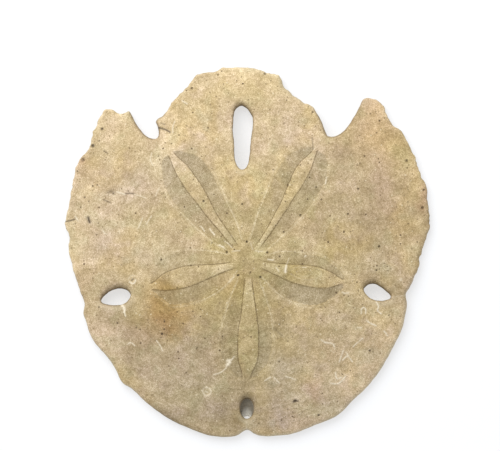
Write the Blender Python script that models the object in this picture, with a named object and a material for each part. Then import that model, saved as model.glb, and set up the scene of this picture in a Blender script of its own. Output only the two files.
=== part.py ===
# Fossil keyhole sand dollar: one flat, domed test that lies on its lower face.
# Points and lengths are millimetres. x runs to the right and y to the rear, both from the apex of the
# dome, and z runs up from the resting face. The mesh is in metres, with its box centred on the origin.

import math

import bmesh
import bpy
import numpy as np
from mathutils import Vector
from mathutils.geometry import delaunay_2d_cdt, interpolate_bezier
from mathutils.kdtree import KDTree

MM = 0.001
COLLECTION_NAME = "fossil_sand_dollar"
NODE_NAME = "sand_dollar"

# The dome
APEX_HEIGHT = 14.0
BRIM_HEIGHT = 3.4  # upper face just inside the rounded margin
SIDE_REACH = 61.0
FRONT_REACH = 59.5
REAR_REACH = 64.0
DOME_POWER = 1.35
SWELL_HEIGHT = 0.25  # gentle unevenness of the upper face
SWELL_LENGTH = 31.0

# The margin, from its upper rounding to its lower one
MARGIN_TOP = 1.9
MARGIN_FOOT = 1.1
MARGIN_LIP = 2.2
FOOT_LIP = 1.4

# The lips of the openings: the rear side of each is rounded, and the front side is nearly square
FRONT_LIP, REAR_LIP = 0.8, 2.6
FRONT_DROP, REAR_DROP = 0.5, 2.8
OPENING_FOOT = 0.7
OPENING_FOOT_LIP = 1.0

# The margin, clockwise from the left of the rear lobe
REAR_LOBE = [
    (-29.8, 46.8), (-28.2, 47.7), (-25.2, 52.2), (-20.2, 57.5), (-18.5, 60.0), (-17.2, 61.3), (-13.8, 62.2),
    (-10.2, 62.9), (-8.5, 63.7), (-5.2, 63.9), (-0.5, 63.8), (3.5, 63.3), (6.8, 62.0), (10.5, 61.4),
    (11.5, 60.0), (12.3, 57.5), (13.8, 56.2), (17.2, 53.2), (21.2, 51.0), (22.8, 49.0), (24.5, 46.3),
    (25.8, 43.0), (26.6, 41.2),
]
RIGHT_NOTCH = [(27.2, 40.9), (29.2, 41.0), (31.2, 42.0), (32.8, 43.4), (36.3, 48.7), (38.5, 53.1)]
RIGHT_HORN = [
    (40.2, 53.7), (42.5, 53.2), (44.5, 51.9), (45.8, 50.3), (46.4, 48.5), (48.2, 45.1), (51.0, 43.0),
    (52.3, 40.7),
]
RIGHT_MARGIN = [
    (55.7, 34.3), (56.3, 32.0), (58.0, 27.3), (59.3, 25.0), (59.9, 22.7), (60.0, 18.7), (60.9, 14.0),
    (60.1, 7.7), (57.6, 0.7), (56.7, -4.0), (55.2, -7.0), (54.0, -10.1), (52.9, -11.3), (52.8, -12.7),
    (53.1, -15.7), (51.5, -23.3),
]
FRONT_RIGHT = [
    (49.7, -27.2), (45.2, -35.5), (41.8, -40.3), (38.8, -43.7), (35.3, -46.9), (32.3, -50.2),
    (29.4, -52.5), (24.2, -54.7), (15.2, -58.2), (10.2, -58.9), (4.8, -59.0),
]
FRONT_NICK = [(2.2, -58.2), (0.7, -57.2), (-0.3, -57.0), (-1.3, -57.4), (-3.2, -58.7), (-5.5, -59.3)]
FRONT_LEFT = [
    (-11.2, -59.1), (-14.8, -58.2), (-25.8, -53.5), (-33.8, -47.7), (-38.5, -43.3), (-41.2, -41.7),
    (-42.4, -40.3), (-43.7, -37.3), (-45.7, -34.0), (-51.8, -26.5), (-53.8, -20.8), (-54.7, -18.0),
]
LEFT_MARGIN = [
    (-54.4, -15.3), (-54.6, -13.8), (-55.7, -11.2), (-58.1, -3.3), (-59.4, 2.7), (-59.3, 6.3),
    (-59.8, 8.5), (-60.8, 10.2), (-60.7, 13.3), (-59.2, 19.3), (-57.9, 28.0), (-56.7, 32.0),
    (-55.2, 34.2), (-52.7, 37.2), (-52.2, 39.7), (-51.3, 42.7),
]
LEFT_HORN = [
    (-48.3, 48.7), (-47.0, 49.7), (-45.2, 49.7), (-42.8, 48.6), (-41.0, 48.8), (-39.7, 49.3), (-39.0, 48.6),
]
LEFT_NOTCH = [
    (-37.5, 45.8), (-35.8, 43.2), (-33.8, 41.0), (-32.2, 40.2), (-30.7, 40.2), (-29.8, 40.9),
    (-29.6, 42.5), (-30.1, 44.5), (-30.6, 45.7),
]
MARGIN = (
    REAR_LOBE + RIGHT_NOTCH + RIGHT_HORN + RIGHT_MARGIN + FRONT_RIGHT
    + FRONT_NICK + FRONT_LEFT + LEFT_MARGIN + LEFT_HORN + LEFT_NOTCH
)

# The openings through the test, clockwise
REAR_LUNULE = [
    (-2.2, 51.0), (-0.8, 50.5), (0.5, 49.3), (1.8, 46.3), (1.2, 40.3), (0.5, 33.7), (0.0, 31.3),
    (-1.8, 29.7), (-3.8, 31.7), (-4.2, 33.7), (-4.6, 40.3), (-4.9, 43.7), (-4.3, 49.0), (-3.6, 50.2),
]
LEFT_LUNULE = [
    (-48.8, -13.8), (-46.8, -11.5), (-43.5, -10.0), (-40.5, -10.2), (-38.8, -11.8), (-39.8, -13.8),
    (-41.5, -15.0), (-45.2, -15.3), (-48.3, -14.7),
]
RIGHT_LUNULE = [
    (38.7, -10.2), (39.5, -9.0), (41.2, -8.3), (43.5, -8.8), (46.2, -10.8), (47.7, -12.8), (45.8, -13.8),
    (43.8, -13.9), (41.8, -13.5), (40.2, -12.5),
]
# The front lunule slants: its wall runs forward from a tall oval above to a smaller one below
FRONT_LUNULE_ABOVE = {"centre": (-0.2, -49.8), "half_width": 2.3, "half_length": 3.3}
FRONT_LUNULE_BELOW = {"centre": (-0.2, -51.6), "half_width": 1.8, "half_length": 1.6}
OVAL_POINTS = 14

# The petals: an almost straight axis, with half-widths at even stations from the apex to the tip.
# The core lies between two fine grooves, and a sunken band of pores borders it on each side.
PETALS = [
    {
        "axis": ((-4.0, 4.7), (-25.2, 34.5)), "bow": 0.4,
        "core": (0.9, 1.0, 1.2, 1.7, 2.3, 2.3, 1.1),
        "left": (2.8, 5.1, 6.6, 7.7, 8.1, 7.3, 4.7),
        "right": (2.5, 4.4, 5.7, 7.1, 7.9, 7.5, 3.5),
    },
    {
        "axis": ((3.2, 4.2), (22.5, 35.8)), "bow": -0.5,
        "core": (0.9, 0.8, 1.0, 1.4, 2.2, 2.3, 1.0),
        "left": (2.8, 4.6, 6.1, 7.2, 7.9, 7.5, 3.8),
        "right": (2.8, 4.1, 5.7, 6.9, 7.8, 7.6, 5.3),
    },
    {
        "axis": ((4.8, -2.1), (31.3, -7.5)), "bow": -0.5,
        "core": (1.1, 1.5, 2.4, 3.1, 3.5, 2.8, 1.1),
        "left": (3.0, 5.5, 6.7, 7.1, 7.3, 5.4, 3.2),
        "right": (3.0, 5.6, 8.1, 9.1, 9.2, 7.6, 3.8),
    },
    {
        "axis": ((0.3, -6.7), (-0.5, -38.8)), "bow": 0.4,
        "core": (1.1, 1.7, 2.2, 3.2, 3.6, 3.1, 1.3),
        "left": (3.3, 5.1, 6.8, 7.6, 7.9, 7.1, 4.0),
        "right": (3.1, 5.5, 7.1, 8.5, 9.0, 8.2, 4.0),
    },
    {
        "axis": ((-5.0, -1.8), (-31.7, -8.7)), "bow": 0.1,
        "core": (1.2, 1.7, 2.4, 3.2, 3.4, 2.4, 1.3),
        "left": (3.5, 5.9, 7.6, 8.3, 8.3, 7.6, 3.0),
        "right": (3.3, 5.4, 7.0, 8.3, 8.4, 7.1, 3.0),
    },
]
CORE_RISE = 0.3
GROOVE_DEPTH = 0.35
GROOVE_HALF_WIDTH = 0.6
BAND_DEPTH = 0.3
PETAL_FADE = 2.5  # length over which the relief dies out past a petal's ends

# The star at the apex, its five spawning pores, and the larger pits of the upper face
STAR_RISE = 0.4
STAR_RADIUS = 3.6
SPAWNING_PORES = [(-0.2, 5.8), (-6.8, 2.3), (6.6, 2.2), (-3.1, -5.3), (4.3, -5.9)]
PORE_RADIUS, PORE_DEPTH = 0.5, 0.7
PITS = [
    (-51.5, 37.7, 0.9), (-54.8, 33.0, 0.9), (-51.5, 24.3, 0.6), (-52.9, 12.5, 0.9), (-14.5, 19.2, 0.6),
    (-1.7, 18.2, 0.5), (-28.5, -0.2, 0.5), (-28.3, -24.8, 0.7), (15.2, -47.3, 0.9), (23.7, -52.0, 0.6),
    (40.7, -30.5, 0.6), (36.8, 23.3, 0.6), (33.3, 15.0, 0.5), (32.0, 9.0, 0.6), (17.5, 14.5, 0.6),
    (22.8, 23.8, 0.5), (43.7, 4.2, 0.6), (42.8, -3.7, 0.6), (53.0, 32.7, 0.7), (58.6, 23.0, 0.7),
    (44.0, 46.0, 0.6), (21.7, 48.8, 0.6), (5.8, 61.7, 0.6), (-18.5, 56.8, 0.7),
]
PIT_DEPTH_SHARE = 0.9

# The lower face: a shallow hollow round the mouth, the vent, and food grooves that fork on each radius
HOLLOW_RADIUS, HOLLOW_DEPTH = 22.0, 0.8
MOUTH = {"centre": (0.0, 0.0), "half_width": 2.1, "half_length": 2.1, "depth": 2.4}
VENT = {"centre": (-0.8, 22.5), "half_width": 1.1, "half_length": 1.7, "depth": 1.4}
RADIUS_ANGLES = (270, 346, 57, 125, 194)
GROOVE_TRUNK = (2.6, 10.0)
GROOVE_BRANCH = ((10.0, 0), (14.5, 13), (24.0, 17), (36.0, 16), (46.0, 12.5))
FOOD_GROOVE_DEPTH, FOOD_GROOVE_HALF_WIDTH = 0.5, 0.9

# Spacing of the mesh: rows of points beside the rims, then the detail, then a staggered grid
RIM_STEP = 1.9
OPENING_STEP = 1.4
LINE_STEP = 2.2
FINE_STEP = 0.2
FINE_OVAL_POINTS = 100
LEAST_GAP = 0.7
UPPER_SPACING = {"margin_rows": (0.6, 2.2), "opening_rows": (0.8, 2.4), "line_gap": 2.5, "grid": 2.35}
LOWER_SPACING = {"margin_rows": (1.4,), "opening_rows": (1.0,), "line_gap": 1.5, "grid": 4.6}
ROW_CROWDING = 0.85  # a row's point is dropped where another stretch of rim is nearer than this share
GRID_CROWDING = 0.6  # a grid point is dropped where the detail is nearer than this share of the grid
MOUTH_RINGS = (1.1, 1.9, 2.4)
VENT_RINGS = (0.7, 1.5)
PIT_RING_POINTS = 6
LOWER_RING_POINTS = 10


def smooth_path(knots, step, closed=True):
    """Points about a step apart on a smooth curve through the knots."""
    spots = [Vector(knot) for knot in knots]
    last = len(spots) - 1
    path = []
    for i in range(last + closed):
        before = spots[i - 1] if closed or i else spots[0]
        here = spots[i]
        after = spots[(i + 1) % len(spots)]
        beyond = spots[(i + 2) % len(spots)] if closed else spots[min(i + 2, last)]
        reach = (after - here).length / 3
        leave = here + (after - before).normalized() * reach
        arrive = after - (beyond - here).normalized() * reach
        pieces = max(1, round((after - here).length / step))
        path += interpolate_bezier(here, leave, arrive, after, pieces + 1)[:-1]
    if not closed:
        path.append(spots[-1])
    return np.array([point[:2] for point in path])


def oval(centre, half_width, half_length, count=OVAL_POINTS):
    """Points round an oval, clockwise from its rear."""
    turns = np.arange(count) * 2 * math.pi / count
    return np.stack([centre[0] + half_width * np.sin(turns), centre[1] + half_length * np.cos(turns)], axis=1)


def into_the_test(loop, opening):
    """Unit directions at a loop's points, level and into the solid. The loops run clockwise."""
    along = np.roll(loop, -1, axis=0) - np.roll(loop, 1, axis=0)
    along /= np.linalg.norm(along, axis=1)[:, None]
    rightward = np.stack([along[:, 1], -along[:, 0]], axis=1)
    return -rightward if opening else rightward


def inside(spots, loop):
    """Which spots lie within a closed loop."""
    within = np.zeros(len(spots), bool)
    x, y = spots.T
    for (ax, ay), (bx, by) in zip(loop, np.roll(loop, -1, axis=0)):
        if ay != by:
            within ^= ((ay > y) != (by > y)) & (x < ax + (bx - ax) * (y - ay) / (by - ay))
    return within


def nearest(spots, rim):
    """Each spot's distance to the rim's nearest point, and that point's number."""
    tree = KDTree(len(rim))
    for number, (x, y) in enumerate(rim):
        tree.insert((x, y, 0.0), number)
    tree.balance()
    found = [tree.find((x, y, 0.0)) for x, y in spots]
    return np.array([f[2] for f in found]), np.array([f[1] for f in found])


def rounding(distance, lip):
    """0 at a rim, and 1 from the lip's width inwards, along a quarter circle."""
    left = np.clip(1 - distance / lip, 0, 1)
    return np.sqrt(1 - left**2)


def ease(value, low, high):
    """A smooth step from 0 at low to 1 at high."""
    share = np.clip((value - low) / (high - low), 0, 1)
    return share * share * (3 - 2 * share)


def dome(x, y):
    """The upper face without its relief."""
    far = np.where(y > 0, REAR_REACH, FRONT_REACH)
    rest = np.clip(1 - (x / SIDE_REACH) ** 2 - (y / far) ** 2, 0, 1)
    swell = np.sin(x / SWELL_LENGTH * 2 + 0.6) * np.cos(y / SWELL_LENGTH * 2.6 - 0.4)
    return BRIM_HEIGHT + (APEX_HEIGHT - BRIM_HEIGHT) * rest**DOME_POWER + SWELL_HEIGHT * swell * rest


def petal_frame(petal, x, y):
    """Station along the petal, 0 to 1 from apex to tip, offset to its left, and its length."""
    start, end = (np.array(point) for point in petal["axis"])
    length = np.linalg.norm(end - start)
    along = (end - start) / length
    station = ((x - start[0]) * along[0] + (y - start[1]) * along[1]) / length
    offset = (y - start[1]) * along[0] - (x - start[0]) * along[1]
    middle = np.clip(station, 0, 1)
    return station, offset - petal["bow"] * 4 * middle * (1 - middle), length


def petal_widths(petal, station, side):
    """Half-widths of the core and of the band on one side."""
    stations = np.linspace(0, 1, len(petal["core"]))
    return np.interp(station, stations, petal["core"]), np.interp(station, stations, petal[side])


def petal_relief(x, y):
    """Height of the petals' cores, grooves and bands over the dome."""
    relief = np.zeros_like(x)
    for petal in PETALS:
        station, offset, length = petal_frame(petal, x, y)
        fade = PETAL_FADE / length
        shown = ease(station, -fade, fade) * (1 - ease(station, 1 - fade / 2, 1 + fade))
        core, left = petal_widths(petal, station, "left")
        right = petal_widths(petal, station, "right")[1]
        band = np.where(offset > 0, left, right)
        out = np.abs(offset)
        rise = CORE_RISE * np.clip(1 - (out / core) ** 2, 0, 1)
        groove = GROOVE_DEPTH * np.exp(-(((out - core) / GROOVE_HALF_WIDTH) ** 2))
        sunk = BAND_DEPTH * ease(out, core, core + 0.5) * (1 - ease(out, band - 1.5, band + 0.5))
        relief += shown * (rise - groove - sunk)
    return relief


def dimples(x, y, spots, depth_share):
    """Depth of round pits, each spot an x, a y and a radius."""
    depth = np.zeros_like(x)
    for px, py, radius in spots:
        out = np.hypot(x - px, y - py) / radius
        depth = np.maximum(depth, depth_share * radius * np.clip(1 - out**2, 0, 1))
    return depth


def upper_height(spots, margin, openings):
    """Height of the upper face at each spot."""
    x, y = spots.T
    pores = [(px, py, PORE_RADIUS) for px, py in SPAWNING_PORES]
    height = dome(x, y) + petal_relief(x, y)
    height += STAR_RISE * np.exp(-((np.hypot(x, y) / STAR_RADIUS) ** 2))
    height -= dimples(x, y, PITS, PIT_DEPTH_SHARE) + dimples(x, y, pores, PORE_DEPTH / PORE_RADIUS)
    away, _ = nearest(spots, margin)
    height = MARGIN_TOP + (height - MARGIN_TOP) * rounding(away, MARGIN_LIP)
    rims = np.concatenate(openings)
    facing = np.concatenate([into_the_test(rim, True) for rim in openings])[:, 1]
    away, number = nearest(spots, rims)
    rear = np.clip(facing[number], 0, 1)
    lip = FRONT_LIP + (REAR_LIP - FRONT_LIP) * rear
    drop = FRONT_DROP + (REAR_DROP - FRONT_DROP) * rear
    return height - drop * (1 - rounding(away, lip))


def food_grooves():
    """The centre lines of the food grooves, as points about a line step apart."""
    lines = []
    for angle in RADIUS_ANGLES:
        trunk = [(far, 0) for far in GROOVE_TRUNK]
        for side in (-1, 1):
            branch = [(far, side * turn) for far, turn in GROOVE_BRANCH]
            for polar in (trunk, branch) if side > 0 else (branch,):
                knots = []
                for far, turn in polar:
                    way = math.radians(angle + turn)
                    knots.append((far * math.cos(way), far * math.sin(way)))
                lines.append(smooth_path(knots, LINE_STEP, closed=False))
    return lines


def oval_pit(x, y, centre, half_width, half_length, depth):
    """Depth of an oval pit with a rounded floor."""
    out = ((x - centre[0]) / half_width) ** 2 + ((y - centre[1]) / half_length) ** 2
    return depth * np.sqrt(np.clip(1 - out, 0, 1))


def lower_height(spots, margin, openings, grooves):
    """Height of the lower face at each spot, 0 where it rests."""
    x, y = spots.T
    height = HOLLOW_DEPTH * (1 - ease(np.hypot(x, y), 0, HOLLOW_RADIUS))
    away, _ = nearest(spots, grooves)
    height += FOOD_GROOVE_DEPTH * (1 - ease(away, 0, FOOD_GROOVE_HALF_WIDTH))
    height += oval_pit(x, y, **MOUTH) + oval_pit(x, y, **VENT)
    away, _ = nearest(spots, margin)
    height += MARGIN_FOOT * (1 - rounding(away, FOOT_LIP))
    away, _ = nearest(spots, np.concatenate(openings))
    return height + OPENING_FOOT * (1 - rounding(away, OPENING_FOOT_LIP))


def beside(line, offsets):
    """Copies of an open line at level offsets from it, itself included for 0."""
    along = np.gradient(line, axis=0)
    along /= np.linalg.norm(along, axis=1)[:, None]
    across = np.stack([-along[:, 1], along[:, 0]], axis=1)
    return np.concatenate([line + across * offset for offset in offsets])


def petal_points():
    """Points along the rims of each petal's core and along its bands."""
    points = []
    for petal in PETALS:
        start, end = (np.array(point) for point in petal["axis"])
        length = np.linalg.norm(end - start)
        along = (end - start) / length
        across = np.array([-along[1], along[0]])
        station = np.linspace(0, 1, round(length / LINE_STEP) + 1)
        axis = start + np.outer(station, end - start)
        axis += np.outer(petal["bow"] * 4 * station * (1 - station), across)
        for side, sign in (("left", 1), ("right", -1)):
            core, band = petal_widths(petal, station, side)
            for offset in (core - GROOVE_HALF_WIDTH, core, core + GROOVE_HALF_WIDTH, (core + band) / 2, band):
                points.append(axis + np.outer(sign * np.clip(offset, 0.2, None), across))
    return np.concatenate(points)


def rings(centre, radii, count):
    """A centre point and rings of points round it."""
    return np.concatenate([[centre]] + [oval(centre, radius, radius, count) for radius in radii])


def in_the_solid(points, loops, gap):
    """Which points lie within the margin, outside the openings, and further than the gap from both."""
    solid = inside(points, loops[0])
    for opening in loops[1:]:
        solid &= ~inside(points, opening)
    away, _ = nearest(points, np.concatenate(loops))
    return solid & (away > gap)


def rows_beside(loops, fine, spacing):
    """Rows of points beside the loops, in the solid."""
    rows = []
    for number, loop in enumerate(loops):
        inward = into_the_test(loop, number > 0)
        for offset in spacing["opening_rows" if number else "margin_rows"]:
            row = loop + inward * offset
            rows.append(row[in_the_solid(row, fine, offset * ROW_CROWDING)])
    return np.concatenate(rows)


def added(kept, candidates, gap):
    """The kept points, and the candidates that lie further than the gap from all of them and each other."""
    away, _ = nearest(candidates, kept)
    chosen = []
    for point in candidates[away > gap]:
        if all(np.hypot(*(point - other)) > gap for other in chosen):
            chosen.append(point)
    return np.concatenate([kept, np.array(chosen).reshape(-1, 2)])


def grid_points(fine, spacing):
    """A staggered grid of points in the solid, clear of the rows beside its rims."""
    low, high = fine[0].min(axis=0), fine[0].max(axis=0)
    grid = spacing["grid"]
    points = []
    for number, y in enumerate(np.arange(low[1], high[1], grid * math.sqrt(3) / 2)):
        for x in np.arange(low[0] + grid / 2 * (number % 2), high[0], grid):
            points.append((x, y))
    points = np.array(points)
    clear = max(spacing["margin_rows"]) + grid / 2
    return points[in_the_solid(points, fine, clear)]


def sheet(loops, fine, details, lines, spacing):
    """A triangulated sheet inside the first loop and outside the others: its points and its triangles."""
    points = np.concatenate([rows_beside(loops, fine, spacing), details])
    points = added(points, lines[in_the_solid(lines, fine, spacing["line_gap"])], LEAST_GAP)
    points = added(points, grid_points(fine, spacing), spacing["grid"] * GRID_CROWDING)
    flat = [Vector(point) for point in np.concatenate(loops + [points])]
    edges = []
    first = 0
    for loop in loops:
        count = len(loop)
        edges += [(first + i, first + (i + 1) % count) for i in range(count)]
        first += count
    placed, _, triangles, _, _, _ = delaunay_2d_cdt(flat, edges, [], 0, 1e-7)
    placed = np.array(placed)
    triangles = np.array(triangles)
    return placed, triangles[in_the_solid(placed[triangles].mean(axis=1), loops, 0)]


def upper_sheet(loops, fine):
    """The upper face: its points, heights and triangles."""
    details = [rings((x, y), (radius,), PIT_RING_POINTS) for x, y, radius in PITS]
    details += [rings(pore, (PORE_RADIUS,), PIT_RING_POINTS) for pore in SPAWNING_PORES]
    details = np.concatenate(details)
    details = details[in_the_solid(details, fine, LEAST_GAP)]
    points, triangles = sheet(loops, fine, details, petal_points(), UPPER_SPACING)
    return points, upper_height(points, fine[0], fine[1:]), triangles


def lower_sheet(loops, fine):
    """The lower face: its points, heights and triangles."""
    grooves = food_grooves()
    details = [rings(MOUTH["centre"], MOUTH_RINGS, LOWER_RING_POINTS)]
    details += [rings(VENT["centre"], VENT_RINGS, LOWER_RING_POINTS)]
    offsets = (-FOOD_GROOVE_HALF_WIDTH, 0, FOOD_GROOVE_HALF_WIDTH)
    lines = np.concatenate([beside(line, offsets) for line in grooves])
    points, triangles = sheet(loops, fine, np.concatenate(details), lines, LOWER_SPACING)
    centre_lines = np.concatenate([smooth_path(line, FINE_STEP, closed=False) for line in grooves])
    return points, lower_height(points, fine[0], fine[1:], centre_lines), triangles


def build_mesh():
    """The closed test, from an upper sheet, a lower sheet and the walls between their loops."""
    openings = (REAR_LUNULE, LEFT_LUNULE, RIGHT_LUNULE)
    loops = [smooth_path(MARGIN, RIM_STEP)] + [smooth_path(knots, OPENING_STEP) for knots in openings]
    fine = [smooth_path(knots, FINE_STEP) for knots in (MARGIN, *openings)]
    above = [oval(**FRONT_LUNULE_ABOVE)]
    below = [oval(**FRONT_LUNULE_BELOW)]
    sheets = (
        upper_sheet(loops + above, fine + [oval(**FRONT_LUNULE_ABOVE, count=FINE_OVAL_POINTS)]),
        lower_sheet(loops + below, fine + [oval(**FRONT_LUNULE_BELOW, count=FINE_OVAL_POINTS)]),
    )
    middle = (fine[0].max(axis=0) + fine[0].min(axis=0)) / 2
    bm = bmesh.new()
    sides = []
    for points, heights, triangles in sheets:
        side = []
        for (x, y), z in zip(points - middle, heights):
            side.append(bm.verts.new((x * MM, y * MM, z * MM)))
        for triangle in triangles:
            bm.faces.new([side[corner] for corner in triangle])
        sides.append(side)
    first = 0
    for loop in loops + above:
        for i in range(len(loop)):
            here, after = first + i, first + (i + 1) % len(loop)
            bm.faces.new((sides[0][here], sides[0][after], sides[1][after], sides[1][here]))
        first += len(loop)
    bmesh.ops.triangulate(bm, faces=[face for face in bm.faces if len(face.verts) > 3])
    bmesh.ops.recalc_face_normals(bm, faces=bm.faces)
    mesh = bpy.data.meshes.new(NODE_NAME)
    bm.to_mesh(mesh)
    bm.free()
    mesh.shade_smooth()
    mesh.set_sharp_from_angle(angle=math.radians(50))
    return mesh


def fossil_material():
    """Matt buff-coloured fossil shell."""
    material = bpy.data.materials.new("fossil_shell")
    material.use_nodes = True
    shader = material.node_tree.nodes["Principled BSDF"]
    shader.inputs["Base Color"].default_value = (0.52, 0.41, 0.27, 1.0)
    shader.inputs["Roughness"].default_value = 0.85
    shader.inputs["Metallic"].default_value = 0.0
    return material


def main():
    for leftover in list(bpy.data.objects):
        bpy.data.objects.remove(leftover, do_unlink=True)
    collection = bpy.data.collections.new(COLLECTION_NAME)
    bpy.context.scene.collection.children.link(collection)
    test = bpy.data.objects.new(NODE_NAME, build_mesh())
    test.data.materials.append(fossil_material())
    collection.objects.link(test)


main()
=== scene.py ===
import math

import bpy
import numpy as np
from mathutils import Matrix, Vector
from mathutils.geometry import delaunay_2d_cdt, interpolate_bezier
from mathutils.kdtree import KDTree


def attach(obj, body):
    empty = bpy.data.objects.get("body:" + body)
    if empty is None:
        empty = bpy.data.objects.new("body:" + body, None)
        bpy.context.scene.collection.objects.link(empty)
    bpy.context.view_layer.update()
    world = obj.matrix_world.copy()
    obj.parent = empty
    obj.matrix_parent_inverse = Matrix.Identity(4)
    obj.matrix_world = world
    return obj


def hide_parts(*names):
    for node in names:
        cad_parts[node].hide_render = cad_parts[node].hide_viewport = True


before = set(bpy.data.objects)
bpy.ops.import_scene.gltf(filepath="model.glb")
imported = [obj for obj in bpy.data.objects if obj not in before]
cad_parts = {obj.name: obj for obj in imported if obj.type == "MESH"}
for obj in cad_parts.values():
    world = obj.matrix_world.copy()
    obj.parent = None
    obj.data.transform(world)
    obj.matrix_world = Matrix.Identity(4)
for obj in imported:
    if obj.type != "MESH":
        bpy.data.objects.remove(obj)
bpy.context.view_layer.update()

# Points and lengths of the test are mm from the apex of its dome: x to the right, y to the rear,
# z up from the resting face. They turn into metres of the frame where the mesh is made.
mm = 0.001
middle = (0.048, 2.3)  # the frame's origin, seen from the apex

# outline and openings, clockwise
margin = [
    # rear lobe
    (-29.8, 46.8), (-28.2, 47.7), (-25.2, 52.2), (-20.2, 57.5), (-18.5, 60), (-17.2, 61.3), (-13.8, 62.2),
    (-10.2, 62.9), (-8.5, 63.7), (-5.2, 63.9), (-0.5, 63.8), (3.5, 63.3), (6.8, 62), (10.5, 61.4),
    (11.5, 60), (12.3, 57.5), (13.8, 56.2), (17.2, 53.2), (21.2, 51), (22.8, 49), (24.5, 46.3),
    (25.8, 43), (26.6, 41.2),
    # right notch and horn
    (27.2, 40.9), (29.2, 41), (31.2, 42), (32.8, 43.4), (36.3, 48.7), (38.5, 53.1),
    (40.2, 53.7), (42.5, 53.2), (44.5, 51.9), (45.8, 50.3), (46.4, 48.5), (48.2, 45.1), (51, 43),
    (52.3, 40.7),
    # right side
    (55.7, 34.3), (56.3, 32), (58, 27.3), (59.3, 25), (59.9, 22.7), (60, 18.7), (60.9, 14),
    (60.1, 7.7), (57.6, 0.7), (56.7, -4), (55.2, -7), (54, -10.1), (52.9, -11.3), (52.8, -12.7),
    (53.1, -15.7), (51.5, -23.3),
    # front, with its nick
    (49.7, -27.2), (45.2, -35.5), (41.8, -40.3), (38.8, -43.7), (35.3, -46.9), (32.3, -50.2),
    (29.4, -52.5), (24.2, -54.7), (15.2, -58.2), (10.2, -58.9), (4.8, -59),
    (2.2, -58.2), (0.7, -57.2), (-0.3, -57), (-1.3, -57.4), (-3.2, -58.7), (-5.5, -59.3),
    (-11.2, -59.1), (-14.8, -58.2), (-25.8, -53.5), (-33.8, -47.7), (-38.5, -43.3), (-41.2, -41.7),
    (-42.4, -40.3), (-43.7, -37.3), (-45.7, -34), (-51.8, -26.5), (-53.8, -20.8), (-54.7, -18),
    # left side, horn and notch
    (-54.4, -15.3), (-54.6, -13.8), (-55.7, -11.2), (-58.1, -3.3), (-59.4, 2.7), (-59.3, 6.3),
    (-59.8, 8.5), (-60.8, 10.2), (-60.7, 13.3), (-59.2, 19.3), (-57.9, 28), (-56.7, 32),
    (-55.2, 34.2), (-52.7, 37.2), (-52.2, 39.7), (-51.3, 42.7),
    (-48.3, 48.7), (-47, 49.7), (-45.2, 49.7), (-42.8, 48.6), (-41, 48.8), (-39.7, 49.3), (-39, 48.6),
    (-37.5, 45.8), (-35.8, 43.2), (-33.8, 41), (-32.2, 40.2), (-30.7, 40.2), (-29.8, 40.9),
    (-29.6, 42.5), (-30.1, 44.5), (-30.6, 45.7),
]
rearLunule = [
    (-2.2, 51), (-0.8, 50.5), (0.5, 49.3), (1.8, 46.3), (1.2, 40.3), (0.5, 33.7), (0, 31.3),
    (-1.8, 29.7), (-3.8, 31.7), (-4.2, 33.7), (-4.6, 40.3), (-4.9, 43.7), (-4.3, 49), (-3.6, 50.2),
]
leftLunule = [
    (-48.8, -13.8), (-46.8, -11.5), (-43.5, -10), (-40.5, -10.2), (-38.8, -11.8), (-39.8, -13.8),
    (-41.5, -15), (-45.2, -15.3), (-48.3, -14.7),
]
rightLunule = [
    (38.7, -10.2), (39.5, -9), (41.2, -8.3), (43.5, -8.8), (46.2, -10.8), (47.7, -12.8), (45.8, -13.8),
    (43.8, -13.9), (41.8, -13.5), (40.2, -12.5),
]
frontLunuleAbove = ((-0.2, -49.8), 2.3, 3.3)  # centre, half width and half length of its upper rim
frontLunuleBelow = ((-0.2, -53.1), 1, 0.65)  # its wall slants forward to this smaller lower rim

# shape of the test
test = {
    "apexHeight": 14, "brimHeight": 3.4, "domePower": 1.35,
    "sideReach": 61, "frontReach": 59.5, "rearReach": 64,
    "swellHeight": 0.25, "swellLength": 31, "swellAcross": (2, 0.6), "swellAlong": (2.6, -0.4),
    "marginTop": 2.3, "marginFoot": 1.1, "marginLip": 1, "footLip": 1.4,
    "frontLip": 0.8, "rearLip": 2.6, "frontDrop": 0.5, "rearDrop": 2.8,  # lips of the openings
    "openingFoot": 0.7, "openingFootLip": 1,
    "rimStep": 0.36, "openingStep": 0.3, "ovalPoints": 72,
    "rimWear": 0.3, "frontWear": 0.07, "openingWear": 0.1, "frontEdge": (-18, -6),
    "wearCourse": ((0.9, 1.7, 51), (0.5, 0.8, 52)), "leastWear": 0.25,  # depth, size and seed
    "smoothRims": ((-33.5, 46, 7), (32, 47, 9.5)),  # the notches, worn less than the rest: x, y, radius
    "smoothEdge": (0.85, 1.1), "smoothWear": 0.25,  # as shares of the radius, and of the wear
    "unevenness": ((11, 0.12, 11), (3.6, 0.06, 12), (1.3, 0.035, 13)),  # size, height and seed
    "lowerUnevenness": ((14, 0.12, 21), (4, 0.05, 22), (1.6, 0.03, 23)),
    "wallRows": 7, "marginWallRows": 2, "wallRoughness": 0.16, "marginRoughness": 0.3,  # share of the walls'
    "wallLump": 1.5, "wallSeed": 61, "sharpFrom": 55,  # degrees
}
# Spacing of each face's points: rows beside its rims, then its details, then a grid
upperMesh = {
    "marginRows": (0.15, 0.35, 0.6, 0.9, 1.3, 1.8, 2.4), "openingRows": (0.12, 0.3, 0.55, 0.9, 1.4, 2, 2.7),
    "rowGap": 0.1, "detailGaps": (0.14, 0.14, 0.14, 0.13), "detailEdge": 0.1, "grid": 0.53, "gridEdge": 0.25,
}
lowerMesh = {
    "marginRows": (0.3, 0.7, 1.3), "openingRows": (0.3, 0.7, 1.2),
    "rowGap": 0.25, "detailGaps": (0.25, 0.3, 0.28), "detailEdge": 0.2, "grid": 0.95, "gridEdge": 0.5,
}
rowClear, gridGap, gridJitter = 0.85, 0.6, 0.12  # shares of a row's offset, and of the grid's spacing

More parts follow.
